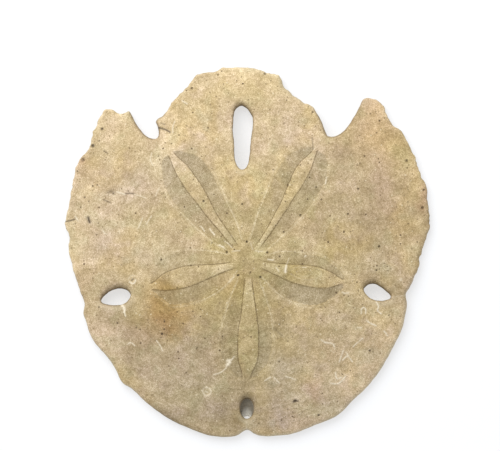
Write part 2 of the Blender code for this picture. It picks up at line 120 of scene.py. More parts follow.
# Painted shade and painted highlight along the rims, by which way each stretch faces the light: strengths and
# reaches
rimPaintedShading = {
    "towardsLight": (-0.47, 0.88), "dark": 0.05, "paintedShadeReach": 0.4, "paintedShadeFrom": 0.2,
    "pale": 0.25, "paintedHighlightAway": 0.6, "paintedHighlightReach": 0.65, "notchPaintedShade": 0.5, "notchReach": 0.55,
    # stretches of the margin with painted shade, seen from the apex: degrees, half-width, reach,
    # and strength, below 0 for a painted highlight
    "paintedShadingStretches": ((248, 17, 1.6, 0.2), (8, 20, 1.8, 0.11), (76, 20, 1, -0.5)),
    # painted shade round the openings' lips, wider on the rear lips that face away from the light, and a painted
    # highlight on the front lips
    "paintedLipShadeStrength": (0.45, 0.4), "paintedRearLipShadeStrength": (0.4, 1.5), "paintedLipHighlight": (0.6, 1, 0.8),
}
# Each petal has a nearly straight axis from the apex outwards, and half-widths at even stations on it.
petals = [
    {"tone": ((0.5, 0.9), (0.3, 1.05)), "axis": ((-4, 4.7), (-25.2, 34.5)), "bow": 0.4,
     "leftCore": (1.1, 1.4, 1.75, 2, 2.25, 2, 1.1), "rightCore": (0.7, 0.9, 1.35, 2.2, 2.7, 2.6, 1.1),
     "left": (2.8, 5.1, 6.6, 7.7, 8.1, 7.3, 4.7), "right": (2.5, 4.4, 5.7, 7.1, 7.9, 7.5, 3.5)},
    {"tone": ((0.45, 0.75), (0.6, 0.9)), "axis": ((3.2, 4.2), (22.5, 35.8)), "bow": -0.5,
     "leftCore": (0.6, 0.75, 1.1, 1.75, 2.7, 2.7, 1), "rightCore": (1, 1.2, 1.4, 1.6, 1.8, 1.7, 0.7),
     "left": (2.8, 4.6, 6.1, 7.2, 7.9, 7.5, 3.8), "right": (2.8, 4.1, 5.7, 6.9, 7.8, 7.6, 5.3)},
    {"tone": ((0.5, 0.65), (0.35, 1.9)), "axis": ((4.8, -2.1), (31.3, -7.5)), "bow": -0.5,
     "leftCore": (1.5, 2, 2.8, 3.5, 3.7, 2.8, 0.9), "rightCore": (1, 1.75, 2.7, 3.3, 3.4, 2.8, 0.9),
     "left": (3, 5.5, 6.7, 7.1, 7.3, 5.4, 3.2), "right": (3, 5.6, 8.1, 9.1, 9.2, 7.6, 3.8)},
    {"tone": ((0.2, 0.95), (0.3, 0.7)), "axis": ((0.3, -6.7), (-0.5, -38.8)), "bow": 0.4,
     "leftCore": (1.25, 1.9, 2.6, 3.3, 3.6, 3.35, 1.7), "rightCore": (1.2, 1.8, 2.4, 3.1, 3.3, 3, 1.25),
     "left": (3.3, 5.1, 6.8, 7.6, 7.9, 7.1, 4), "right": (3.1, 5.5, 7.1, 8.5, 9, 8.2, 4)},
    {"tone": ((0.2, 1), (0.25, 0.42)), "axis": ((-5, -1.8), (-31.7, -8.7)), "bow": 0.1,
     "leftCore": (1.4, 1.8, 2.5, 3.2, 3.4, 2.9, 1.5), "rightCore": (1, 1.6, 2.4, 3.3, 3.5, 2.8, 0.8),
     "left": (3.5, 5.9, 7.6, 8.3, 8.3, 7.6, 3), "right": (3.3, 5.4, 7, 8.3, 8.4, 7.1, 3)},
]
petalRelief = {
    "coreRise": 0.12, "grooveDepth": 0.06, "grooveHalfWidth": 0.5, "slitDepth": 0.08, "slitHalfWidth": 0.18,
    "bandDepth": 0.16, "bandStart": 0.5, "bandSlope": (-1.5, 0.5), "fade": 2.2, "tipRound": 2.6, "tipReach": 0.7,
    "wander": 0.16, "wanderLength": 5, "wanderSeed": 31,
    "lineRows": (-0.6, -0.35, -0.16, 0, 0.16, 0.35, 0.6), "lineStep": 0.3,
    "toneGrowth": (0.05, 0.85), "bandPaling": (1.15, 0.3), "seamEnd": (0.3, 0.75), "coreEnd": (0.1, 0.45),
    "rowSlant": 0.35,
}
apexStar = {
    "rise": 0.4, "radius": 3.6, "poreRadius": 0.43, "poreDepth": 1.4, "rings": (0.25, 0.5, 0.75),
    "pores": ((-0.2, 5.8), (-6.8, 2.3), (6.6, 2.2), (-3.1, -5.3), (4.3, -5.9)),
}

# Small pits of the upper face: x, y, radius, and how dark the painted shade inside it is
pits = [
    (-48.4, 43.3, 0.6, 1), (-49.3, 39.3, 0.4, 0.7), (-51.5, 37.7, 0.8, 1), (-54.8, 33, 0.9, 0.6),
    (-51.5, 24.3, 0.45, 0.8), (-54.2, 20.5, 0.45, 0.7), (-52.8, 19.2, 0.4, 0.7), (-55.5, 17.2, 0.4, 0.6),
    (-50.2, 8, 0.35, 0.6), (-14.5, 19.2, 0.55, 0.9), (-1.7, 18.2, 0.45, 0.8), (-11.7, 5.3, 0.35, 0.6),
    (-18.8, 3.7, 0.35, 0.6), (-28.5, -0.2, 0.45, 0.8), (36.8, 23.3, 0.5, 0.8), (33.3, 15, 0.45, 0.8),
    (32, 9, 0.5, 0.8), (17.5, 14.5, 0.5, 0.8), (12, 9, 0.45, 0.7), (9.3, 11.2, 0.35, 0.6),
    (22.8, 23.8, 0.4, 0.7), (24.5, 19.7, 0.45, 0.6), (43.7, 4.2, 0.55, 0.8), (42.8, -3.7, 0.45, 0.8),
    (36.3, -7.7, 0.4, 0.7), (53, 32.7, 0.6, 0.8), (53.2, 30.3, 0.4, 0.6), (58.7, 23, 0.5, 0.8),
    (58.3, 17, 0.7, 0.6), (12.7, 57.2, 0.5, 0.8), (44, 46, 0.45, 0.8), (43, 42, 0.4, 0.7),
    (21.7, 48.8, 0.45, 0.8), (12.2, 45, 0.4, 0.6), (5.8, 61.7, 0.5, 0.8), (-18.5, 56.8, 0.55, 0.8),
    (-9.8, 61.3, 0.45, 0.7), (-25.2, 38.3, 0.4, 0.6), (-29.5, 34.2, 0.4, 0.6), (-39.2, 36.8, 0.4, 0.6),
    (12.7, 21.5, 0.35, 0.6), (-28.3, -24.8, 0.55, 1), (23.7, -52, 0.5, 0.9), (40.7, -30.5, 0.5, 0.9),
    (10.5, -34, 0.4, 0.7), (16.2, -22.5, 0.35, 0.6), (30.5, -17.7, 0.4, 0.7), (29.5, -20.2, 0.35, 0.6),
    (32, -12, 0.4, 0.7), (33.5, -12.3, 0.35, 0.6), (-23.2, -17.5, 0.4, 0.6), (-18, -17.3, 0.4, 0.6),
    (-36.8, -22.8, 0.4, 0.6), (-43.2, -21.3, 0.45, 0.7), (-20.3, -37.8, 0.4, 0.6),
    (-16.7, -29.5, 0.35, 0.6), (15.9, -47.3, 0.7, 0.8),
]
pitDepthShare, pitShadeSharpness = 0.9, 1.7  # depth as a share of the radius, and how soon a pit is dark
pitRings, ringCount = (0.5, 1, 1.35), 9  # rings of points, as shares of the radius, and points in each

# Thin pale crusts left by worms, and pale cracks: points, half-width and strength
paleMarks = [
    ([(-15.5, 11), (-14.8, 10.2), (-14.2, 9.3)], 0.24, 0.7),
    ([(-12.2, 9.7), (-11.5, 8.8), (-10.8, 8)], 0.28, 1), ([(-9.2, 4.7), (-8.5, 4.3), (-7.8, 4)], 0.25, 0.9),
    ([(-7.5, 6), (-6.5, 5.3), (-5.2, 4)], 0.2, 0.6), ([(6.8, 0), (8.5, -0.3)], 0.24, 0.8),
    ([(13.7, 0.3), (13.2, -1), (12.8, -2)], 0.2, 0.4), ([(12.8, -2), (12.6, -3), (12.5, -4.2)], 0.42, 1),
    ([(9.5, -2.7), (10.2, -3.7)], 0.22, 0.7), ([(18.2, -2.7), (19.5, -2.7)], 0.2, 0.6),
    ([(-4.8, 2.7), (-2.7, 2.9)], 0.25, 0.5), ([(2.7, 2.8), (4.9, 2.6)], 0.25, 0.5),
    ([(1.8, 3.3), (1.3, 4.4), (1, 5.6)], 0.22, 0.4), ([(-3.6, -4), (-5.8, -7.6)], 0.22, 0.3),
    ([(19.1, 1.1), (19.3, 1.2)], 0.3, 0.8), ([(-11.2, -38.3), (-8.8, -37.5), (-7.2, -36.2)], 0.22, 0.8),
    ([(-6.7, -35.1), (-6.2, -34.5), (-5.7, -33.9)], 0.5, 1.3), ([(-5.6, -33.8), (-4.5, -32.3)], 0.26, 0.8),
    ([(-6.6, -33.7), (-5.4, -33.4)], 0.45, 1.1),
    ([(-39.8, -28.3), (-38.8, -27.7), (-37.5, -28.7)], 0.22, 0.8),
    ([(-30.2, -27), (-29.2, -28.3), (-28.2, -30.3)], 0.22, 0.8), ([(5.8, -40.3), (7.5, -39.2)], 0.24, 0.8),
    ([(8.8, -39.3), (10.5, -41)], 0.24, 0.8), ([(12.8, -39), (14.2, -39.3), (15.8, -40)], 0.24, 0.8),
    ([(24.5, -26.7), (25.5, -27.5), (26.5, -27.7), (28.2, -28), (28.8, -29)], 0.26, 0.9),
    ([(35.2, -29), (36.5, -27.7), (38.2, -26.3)], 0.24, 0.8),
    ([(30.5, -34), (31.2, -32), (31.8, -30.3)], 0.24, 0.95),
    ([(31.8, -33.3), (33.2, -32.3), (34.8, -34)], 0.24, 0.95), ([(32.8, -31), (33.8, -32.7)], 0.24, 0.9),
    ([(27.8, -41.3), (29.5, -41.5), (30.8, -41), (32.5, -39)], 0.26, 1.05),
    ([(29.2, -37.7), (29.8, -39.7), (31.2, -39.3)], 0.24, 0.95),
    ([(37.8, -18), (37.8, -16.7), (38.5, -16), (39.2, -16.7), (39.2, -18)], 0.24, 0.95),
    ([(42.8, -14.3), (43.5, -15.7), (43.2, -17), (44.2, -18)], 0.26, 1.05),
    ([(39.5, -20.3), (40.8, -21.3), (42.5, -22)], 0.25, 1), ([(36.5, -22.7), (37.8, -22.7)], 0.22, 0.7),
    ([(45.5, -24), (46.5, -25.3)], 0.27, 1), ([(51, -7), (51, -6.8)], 0.35, 0.8),
    ([(25.8, 25), (26.2, 27)], 0.24, 0.9), ([(-41.6, -15.3), (-40.9, -16.6), (-40.9, -17.6)], 0.5, 1.1),
    ([(-41, -17), (-40.5, -18.9)], 0.28, 0.9), ([(-31.8, 35.3), (-32.2, 33), (-31.5, 31.3)], 0.24, 0.6),
    ([(-21.8, 52.7), (-21.2, 52.3), (-20.2, 51.7)], 0.24, 0.8),
    ([(-24.8, 42), (-24.8, 44), (-24.2, 45.7)], 0.22, 0.6),
    ([(-34.8, 13.7), (-35.5, 12), (-36.2, 10.3)], 0.24, 0.6),
    ([(-48.2, 9.7), (-47.5, 8.7), (-46.8, 8.3)], 0.24, 0.7),
    ([(-33.5, 11.7), (-32.5, 13.3), (-31.8, 14.3)], 0.22, 0.6), ([(-57.2, 14), (-56.5, 13)], 0.26, 0.9),
    ([(33.5, -11), (32.5, -11.3), (31.5, -11)], 0.35, 0.6), ([(-43.2, 22.3), (-40.8, 21.5)], 0.24, 0.8),
    ([(-37.4, 21.4), (-35.6, 21), (-33.5, 20.2)], 0.22, 0.6), ([(-29.2, 23.7), (-30.2, 21.7)], 0.22, 0.6),
    ([(47.8, -12.7), (50, -12.4), (52.5, -12)], 0.35, 0.2),
    ([(-48.8, -13.9), (-51.5, -14.3), (-54.3, -14.7)], 0.2, 0.15),
    ([(-0.2, -53.9), (-0.3, -55.2), (-0.3, -57)], 0.22, 0.25),
    ([(-14.6, -42.9), (-13.5, -42.6), (-12.4, -43.2), (-12.2, -44.4), (-13.2, -45.3), (-14.4, -44.9),
      (-14.9, -43.8), (-14.6, -42.9)], 0.26, 0.6),
    ([(-13.9, -44), (-13.3, -44.2)], 0.3, 0.6),
    ([(14.2, -3.6), (17, -2.5), (21, -2.7), (24.6, -4.7), (21.5, -6.7), (17, -6.3), (14.2, -4.8)], 0.16, 0.2),
    ([(16.2, -4), (18.5, -3.5), (21.2, -4.2), (19.5, -5.6), (16.8, -5.2), (16.2, -4.2)], 0.16, 0.15),
    ([(-39.4, -6.4), (-38.6, -5.4), (-37.4, -5.5)], 0.22, 0.4),
    ([(-39, -7.6), (-38.1, -8.1), (-37.3, -7.5), (-37.1, -6.9)], 0.27, 1),
]
# Dark scratches and cracks: points, half-width and strength
darkMarks = [
    ([(-60.6, 12.5), (-59.2, 12.7), (-57.5, 13.2)], 0.28, 0.9),
    ([(-29.7, 43.7), (-28.2, 43.3), (-26.8, 42.8), (-25.8, 42.2)], 0.3, 1),
    ([(-28.8, 45.2), (-27.5, 44.7)], 0.24, 0.6), ([(-47.8, 36), (-46.8, 35.3)], 0.24, 0.7),
    ([(-47.8, 19.7), (-45.8, 18.8)], 0.24, 0.7), ([(-46.3, 22.1), (-45.2, 22.5), (-44.5, 22)], 0.6, 0.5),
    ([(-40.5, 21.7), (-39.2, 21.8), (-37.8, 21.7)], 0.24, 0.8),
    ([(21.5, 40.3), (21.7, 38.3), (21.8, 36.7)], 0.22, 0.6),
    ([(15.2, -47.5), (15.8, -47), (16.8, -47.3)], 0.3, 0.9),
    ([(-53, 13.8), (-52.8, 13), (-52.5, 12.2)], 0.45, 1.1), ([(-38.4, -7), (-37.9, -6.6)], 0.3, 0.8),
    ([(9, -22.9), (10.2, -24.2), (11.3, -25.3)], 0.5, 0.35),
]
markRows = {"offsets": (-0.4, -0.18, 0, 0.18, 0.4), "step": 0.26, "fineStep": 0.12, "paleRise": 0.07,
            "darkDepth": 0.16, "paleWidth": 0.82, "darkWidth": 1}  # widths as shares of the ones above

# Bleached, dirty, crusted, yellowed and rusty places of the upper face, as soft patches: x, y, half-width
# along x and y, and strength, below 0 where the shell is darker, greyer or greener. The bleach patches are
# also painted light: a painted highlight along the rear margin, which faces the light, and painted shade
# along the right and front margins
stains = {
    "bleach": [
        (-44, 46, 9, 7, 0.17), (-26, 40, 4.5, 8, 0.18), (-55, 15, 8, 20, 0.12), (0, 61, 22, 6, 0.12),
        (20, 42, 6, 6.5, 0.15), (43.5, 49, 5, 4, 0.13), (34, 35, 9, 2.6, -0.12), (45, 14, 11, 11, -0.1),
        (0.5, -1, 4, 4, -0.08), (-2, 15, 5, 5, -0.07), (-14, 20, 6, 4, -0.05), (-27, -21, 8.5, 7.5, -0.13),
        (-25.5, -12, 4, 3.5, -0.07), (-22, -31, 20, 10, -0.08), (-6, -38, 9, 9, -0.1),
        (-1, -52, 14, 7, -0.14), (-25, -54, 8, 4, -0.12), (-48, -25, 5, 8, 0.12), (46, -24, 7, 10, 0.2),
        (34, -42, 9, 6, 0.18), (21, -16.5, 7, 3, 0.1), (10.5, -20, 3.5, 7, -0.09), (-12, -17, 5, 7, -0.12),
        (-34, 19, 4, 4, -0.06), (35, 27, 6, 3.5, 0.06), (28, -33, 12, 6, 0.05), (-18, 46, 18, 18, 0.1),
        (10, 44, 14, 20, 0.07), (-50, 43, 6, 7, 0.08), (43, 48, 5, 6, 0.08), (52, 31, 5, 4, 0.09),
        (-26, 32, 10, 4.5, 0.06), (53, 3, 5, 5, 0.1), (-30, -1.5, 8, 4.5, 0.09), (30, -8, 9, 5, 0.08),
        (-46, 5, 8, 10, 0.06), (-8, 14, 9, 6, -0.08), (12.5, -5, 4, 6, -0.1), (-1, -12, 12, 5, -0.09),
        (-41, -20, 8, 7, -0.13), (-27, -52, 7, 5, -0.14), (-9, -54, 13, 5, -0.12), (-12, -26, 7, 4, -0.06),
        (9, -24, 4, 4, -0.07), (36, -34, 6, 8, 0.06), (15, -50, 8, 4, 0.07), (44, 1, 4, 4, -0.07),
        (27, 15, 5, 5, -0.06), (32, 36, 6, 3, -0.06), (-39, -37, 5, 5, -0.07), (1, -49, 4, 4, -0.1),
        (-23, -8, 4, 4, -0.12), (-59, 16, 3, 8, 0.12), (-26, 47, 4, 4, 0.08), (-17, 48, 3.5, 3.5, -0.13),
        (-39, 41, 3, 6, 0.1), (-39, 31, 4, 3, 0.08), (-19, 31, 5, 3, 0.07), (0, 12, 4, 3.5, -0.09),
        (6, 0, 5, 3, -0.06), (2, -16, 5, 4, -0.08), (-4, 3.5, 2.5, 2.5, 0.1), (-6, -30, 4, 3, -0.07),
        (25, -39, 4, 4, -0.06), (33, -44, 4, 3, 0.07), (34, -33, 3.5, 3, 0.07), (-20, -49, 4, 3, 0.07),
        (10, 60, 4, 2.5, 0.09), (20, -21, 5, 4, 0.06), (37, 22, 4, 3, -0.06), (60, 11, 2.5, 7, -0.08),
        (-13.5, -44, 1.9, 1.9, 0.2), (-1, 62, 15, 3, 0.1), (59, 12, 3, 14, -0.05),
        (-17.5, -53.5, 4, 2.5, 0.04), (4, 2, 15, 14, -0.03), (-6, -42, 14, 14, -0.015),
        (-25, 42, 26, 17, 0.04), (43, 46, 6, 8, 0.05), (-42, -18, 5, 4, -0.08), (-48, -1, 9, 7, 0.04),
        (-57, 28, 2.6, 11, 0.08), (-53.8, -22, 2.6, 9, 0.05), (19, 53, 8, 3.2, 0.09),
        (-37, -24, 5, 3.5, -0.07), (43, 21, 5, 8, 0.08), (35, 4, 5, 3.5, 0.05), (-4.5, 4, 3, 3, 0.06),
        (-0.3, -0.5, 2.2, 2.4, -0.07), (55, 3, 3, 3.5, 0.07), (54, -7.5, 3, 3, 0.09),
        (0, -48.5, 3, 2.5, -0.08), (22, -45, 3, 3, -0.06), (31, -46, 3, 3, 0.06), (-39, 20, 3, 3, -0.05),
        (-12, -46, 4, 8, -0.04), (-18, -31, 3, 5, -0.05), (-10, 21, 6, 2.5, -0.05), (-1, 11, 3, 3, -0.05),
        (-34.5, -17.5, 5, 6, -0.06), (-46, -18, 6, 2.5, -0.05), (29, 29, 4, 3, 0.07), (28, -10, 5, 4, 0.06),
        (42, 47, 5, 6, 0.03),
    ],
    "blot": [
        (-25.4, -16, 5.6, 8.8, 1), (-23, -22, 4, 5.5, 0.5), (-25.2, -9.5, 3.5, 3, 0.35),
    ],
    "dirt": [
        (-14.8, -23.7, 2.6, 2, 1.5), (12.5, -53, 9, 2.8, 0.9), (-14, -26, 8, 6, 0.7), (-24, -42, 9, 6, 0.5),
        (-29, -25, 5, 3, 0.8), (43.2, -1.7, 3.4, 3.2, 1.3), (4, -51, 11, 4, 0.5), (-5, 52, 4, 3, 0.6),
        (26, -52, 8, 5, 0.5), (13, 51, 6, 5, 0.6), (-24, 28, 7, 7, 0.4), (24, 20, 12, 9, 0.35),
        (12, -24, 4, 8, 0.5), (43, 47, 5, 6, 0.5),
    ],
    "crust": [
        (-45, 15, 16, 14, 0.9), (-32, 33, 6, 5, 1), (-12, 7, 7, 5, 0.8), (36, -30, 12, 10, 0.9),
        (16, -42, 10, 6, 0.5), (-20, -30, 14, 9, 0.4), (16, 32, 8, 8, 0.35), (-36, -22, 5, 8, 0.6),
        (-16, 50, 8, 6, 0.4),
    ],
    "yellow": [
        (2, 3, 25, 25, 0.13), (-7, -12, 6, 7, 0.1), (-28, -14, 9, 8, 0.14), (51, 38, 8, 10, 0.15),
        (56, 16, 6, 13, 0.11), (0, 57, 10, 6, 0.12), (-18, 48, 5, 5, 0.09), (-52, 32, 5, 4, 0.12),
        (0, -28, 8, 9, 0.1), (-50, 10, 8, 14, -0.06), (-37, 26, 7, 5, -0.07), (-24, 34, 6, 5, -0.08),
        (-26, -38, 15, 9, -0.07), (16, -43, 8, 8, -0.1), (31, -47, 8, 6, -0.1), (41, -33, 6, 6, -0.08),
        (18, 41, 5, 5, -0.08), (47, -3, 5, 4, -0.08), (33, 28, 5, 4, -0.06), (28, 2, 9, 5, 0.07),
        (-27.5, -15, 8, 8.5, 0.1), (-22.5, -10.5, 3, 3, 0.06), (-40, -19, 5, 4, 0.1), (-3, -10, 6, 5, 0.09),
        (-11, 6, 5, 9, 0.07), (41, 40, 9, 7, 0.11), (9, -3, 5, 4, 0.06), (-6, -28, 4, 8, 0.08),
        (48, 8, 4, 4, 0.06), (-45, 4, 5, 4.5, -0.14), (-32, 2, 8, 4, -0.07), (-16, 42, 6, 7, -0.1),
        (14, 38, 5, 5, -0.08), (10, -42, 5, 6, -0.15), (9, -53, 4, 4, -0.15), (20, -18, 5, 4, -0.1),
        (45, -27, 6, 5, -0.13), (36, -37, 5, 5, -0.12), (54, -6, 4, 4, -0.11), (33, 7, 6, 4, -0.07),
        (55, 17, 3, 3, -0.08), (-46, 24, 6, 3, -0.08), (0, 21, 3, 4, -0.11), (-57, 16, 3, 5, -0.12),
        (-18, 46, 15, 13, -0.06), (-39, 30, 7, 5, -0.08), (-44, 2, 7, 6, -0.08), (-30, -1, 10, 4, -0.06),
        (-19, -24, 4, 4, -0.05), (20, 18, 4, 6, 0.07), (24.5, 26.5, 3.5, 5, 0.07), (-13, 9, 6, 6, 0.07),
        (-3, -10, 7, 7, 0.07), (17, -3, 13, 4, 0.08), (13, 12, 9, 6, 0.05), (-8, -30, 5, 9, 0.05),
        (14, -38, 5, 9, -0.1), (8, -55, 5, 5, -0.1), (51, -4, 5, 5, -0.1), (43, -27, 8, 12, -0.06),
        (29, -48, 9, 7, -0.07), (28, 37, 4, 4, 0.08), (41, 38, 5, 6, 0.08), (17, 40, 5, 6, -0.06),
        (-25, -11, 4, 4, 0.05), (-35, -21, 6, 5, 0.05), (-22, -21, 4.5, 5, -0.07), (9, -24, 3.5, 4, 0.06),
        (56.5, 29, 3, 8, 0.09), (42, 49.5, 4, 4.5, 0.06), (-47, 23, 6, 4, -0.07), (-13, -50, 20, 6, -0.05),
    ],
    "rust": [
        (43, 42, 11, 10, 0.07), (50, 17, 12, 16, 0.045), (-28, -16, 7.5, 8.5, 0.08), (-5, -9, 8, 4, 0.04),
        (-52, 30, 5, 5, 0.04), (-53, -9, 6, 6, 0.04), (13, -40, 8, 8, -0.05), (28, -50, 7, 5, -0.06),
        (-19, -43, 9, 6, -0.04), (-27, 32, 7, 6, -0.045), (-28, 1, 8, 4, -0.03), (45, -4, 7, 3, -0.03),
        (22.5, -43.5, 2.6, 3.2, 0.09), (27, -32, 6, 5, 0.03), (-36, -24, 5, 4, 0.05),
        (-27, -15, 6, 7, 0.04), (57, 30, 2, 4, 0.06), (58.7, 20, 1.6, 5, 0.07), (43, 50, 3.5, 3.5, 0.035),
        (23, 28, 2.6, 4.5, 0.06), (-54.8, 33, 2, 1.6, 0.08),
    ],
}
patchWarp = ((1.6, 6, 41, 43), (0.7, 2.2, 42, 44))  # shift, size, and seeds along x and y
crispPatches = {"blot": 3}  # how much sharper than the others

# Mouth, vent and food grooves of the lower face
underside = {
    "hollowRadius": 22, "hollowDepth": 0.8,
    "mouth": ((0, 0), 2.1, 2.1, 2.4), "vent": ((-0.8, 22.5), 1.1, 1.7, 1.4),  # centre, half-sizes, depth
    "mouthRings": ((0.6, 1.1, 1.6, 1.9, 2.2, 2.6), 24), "ventRings": ((0.4, 0.8, 1.1, 1.4, 1.8), 20),
    "restShift": 0.35, "restEase": (0.3, 1),  # the parts that it rests on are the most even
    "angles": (270, 346, 57, 125, 194), "trunk": (2.6, 10),
    "branch": ((10, 0), (14.5, 13), (24, 17), (36, 16), (46, 12.5)), "grooveStep": 0.6,
    "twigs": 7, "twigsFrom": (0.3, 0.92), "twigLength": (4.5, 8.5), "twigTurn": (28, 48), "twigBend": (5, 22),
    "twigStep": 0.5, "fineStep": 0.2, "seed": 8, "pitShadeSharpness": 1.3,
    "grooves": {"rows": (-0.9, -0.45, 0, 0.45, 0.9), "depth": 0.5, "halfWidth": 0.9, "ink": (1, 0.1, 0.9)},
    "twiglets": {"rows": (-0.35, 0, 0.35), "depth": 0.22, "halfWidth": 0.4, "ink": (0.6, 0.05, 0.5)},
}


def smoothPath(knots, step, closed=True):
    spots = [Vector(knot) for knot in knots]
    last = len(spots) - 1
    path = []
    for i in range(last + closed):
        before = spots[i - 1] if closed or i else spots[0]
        here = spots[i]
        after = spots[(i + 1) % len(spots)]
        beyond = spots[(i + 2) % len(spots)] if closed else spots[min(i + 2, last)]
        reach = (after - here).length / 3
        leave = here + (after - before).normalized() * reach
        arrive = after - (beyond - here).normalized() * reach
        pieces = max(1, round((after - here).length / step))
        path += interpolate_bezier(here, leave, arrive, after, pieces + 1)[:-1]
    if not closed:
        path.append(spots[-1])
    return np.array([point[:2] for point in path])


def oval(centre, halfWidth, halfLength, count):
    turns = np.arange(count) * 2 * math.pi / count
    return np.stack([centre[0] + halfWidth * np.sin(turns), centre[1] + halfLength * np.cos(turns)], axis=1)


# Smooth noise between -1 and 1, with bumps about one size apart
def bumps(x, y, size, seed):
    lattice = np.random.default_rng(seed).uniform(-1, 1, (64, 64))
    u, v = x / size, y / size
    i, j = np.floor(u).astype(int), np.floor(v).astype(int)
    a, b = ease(u - i, 0, 1), ease(v - j, 0, 1)
    west, east = (lattice[k % 64, j % 64] * (1 - b) + lattice[k % 64, (j + 1) % 64] * b for k in (i, i + 1))
    return west * (1 - a) + east * a


# Level unit directions into the solid at a clockwise loop's points
def intoTheTest(loop, opening):
    along = np.roll(loop, -1, axis=0) - np.roll(loop, 1, axis=0)
    along /= np.linalg.norm(along, axis=1)[:, None]
    rightward = np.stack([along[:, 1], -along[:, 0]], axis=1)
    return -rightward if opening else rightward


def inside(spots, loop):
    within = np.zeros(len(spots), bool)
    x, y = spots.T
    for (ax, ay), (bx, by) in zip(loop, np.roll(loop, -1, axis=0)):
        if ay != by:
            within ^= ((ay > y) != (by > y)) & (x < ax + (bx - ax) * (y - ay) / (by - ay))
    return within


# Which spots lie inside the first loop and outside the others
def inTheSolid(spots, loops):
    solid = inside(spots, loops[0])
    for opening in loops[1:]:
        solid &= ~inside(spots, opening)
    return solid


def treeOf(points):
    tree = KDTree(len(points))
    for number, (x, y) in enumerate(points):
        tree.insert((x, y, 0), number)
    tree.balance()
    return tree


# Each spot's distance to the nearest point of a line, and that point's number
def nearest(spots, line):
    tree = treeOf(line)
    found = [tree.find((x, y, 0)) for x, y in spots]
    return np.array([f[2] for f in found]), np.array([f[1] for f in found])


# The points that lie in the solid, further than the gap from its rims
def clearOf(loops, points, gap):
    away, _ = nearest(points, np.concatenate(loops))
    return points[inTheSolid(points, loops) & (away > gap)]


# A quarter circle: 0 at a rim, 1 from the lip's width inwards
def rounding(distance, lip):
    left = np.clip(1 - distance / lip, 0, 1)
    return np.sqrt(1 - left**2)


def ease(value, low, high):
    share = np.clip((value - low) / (high - low), 0, 1)
    return share * share * (3 - 2 * share)


# A bell curve: 1 where the distance is 0
def bell(distance, reach):
    return np.exp(-((distance / reach) ** 2))


# A smooth curve through values at even stations from 0 to 1
def smoothWidth(station, values):
    values = np.array(values)
    place = np.clip(station, 0, 1) * (len(values) - 1)
    i = np.clip(place.astype(int), 0, len(values) - 2)
    t = place - i
    before = values[np.maximum(i - 1, 0)]
    here, after = values[i], values[i + 1]
    beyond = values[np.minimum(i + 2, len(values) - 1)]
    bend = (2 * before - 5 * here + 4 * after - beyond) * t**2 + (3 * (here - after) + beyond - before) * t**3
    return here + ((after - before) * t + bend) / 2


def dome(x, y):
    far = np.where(y > 0, test["rearReach"], test["frontReach"])
    rest = np.clip(1 - (x / test["sideReach"]) ** 2 - (y / far) ** 2, 0, 1)
    (across, acrossFrom), (along, alongFrom) = test["swellAcross"], test["swellAlong"]
    swell = (np.sin(x / test["swellLength"] * across + acrossFrom)
             * np.cos(y / test["swellLength"] * along + alongFrom))
    rise = (test["apexHeight"] - test["brimHeight"]) * rest ** test["domePower"]
    return test["brimHeight"] + rise + test["swellHeight"] * swell * rest


def petalAxis(petal):
    start, end = (np.array(point) for point in petal["axis"])
    length = np.linalg.norm(end - start)
    return start, end, length, (end - start) / length


# How far a petal's fine lines stray from their even course
def wander(x, y):
    return petalRelief["wander"] * bumps(x, y, petalRelief["wanderLength"], petalRelief["wanderSeed"])


# Relief of the petals, and what the materials need to know about them
def petalFields(x, y):
    form = petalRelief
    relief = np.zeros_like(x)
    fields = {"lineDistance": np.full_like(x, 5), "bandDistance": np.full_like(x, 9)}
    for petal in petals:
        start, end, length, along = petalAxis(petal)
        station = ((x - start[0]) * along[0] + (y - start[1]) * along[1]) / length  # 0 to 1, apex to tip
        bend = np.clip(station, 0, 1)
        offset = (y - start[1]) * along[0] - (x - start[0]) * along[1] - petal["bow"] * 4 * bend * (1 - bend)
        offset = offset + wander(x, y)
        fade = form["fade"] / length
        begun = ease(station, -fade, fade)
        shown = begun * (1 - ease(station, 1, 1 + fade / 2))
        core, band = (np.where(offset > 0, smoothWidth(station, petal["left" + part]),
                               smoothWidth(station, petal["right" + part])) for part in ("Core", ""))
        out = np.abs(offset)
        cornerX = out - band + form["tipRound"]
        cornerY = (station - 1) * length - form["tipReach"] + form["tipRound"]
        bandEdge = (np.minimum(np.maximum(cornerX, cornerY), 0) - form["tipRound"]
                    + np.hypot(np.maximum(cornerX, 0), np.maximum(cornerY, 0)))
        rise = form["coreRise"] * np.clip(1 - (out / core) ** 2, 0, 1)
        groove = form["grooveDepth"] * bell(out - core, form["grooveHalfWidth"])
        slit = form["slitDepth"] * bell(out - core, form["slitHalfWidth"])
        sunk = form["bandDepth"] * ease(out, core, core + form["bandStart"])
        sunk = sunk * (1 - ease(bandEdge, *form["bandSlope"]))
        relief += shown * (rise - groove - slit) - begun * sunk
        growth = ease(station, *form["toneGrowth"])
        tones = [first + (last - first) * growth for first, last in petal["tone"]]
        full, loss = form["bandPaling"]
        paling = full - loss * np.clip((out - core) / (band - core), 0, 1)
        nearer = (begun > 0.01) & (bandEdge < fields["bandDistance"])
        for name, values in (
                ("lineDistance", out - core), ("bandDistance", bandEdge), ("petalFade", shown),
                ("bandTone", begun * paling * np.where(offset > 0, *tones)),
                ("seam", begun * (1 - ease(station, *form["seamEnd"]))),
                ("coreLight", shown * (1 - ease(station, *form["coreEnd"]))),
                ("bandRow", station * length - out * form["rowSlant"])):
            fields[name] = np.where(nearer, values, fields.get(name, 0))
    return relief, fields


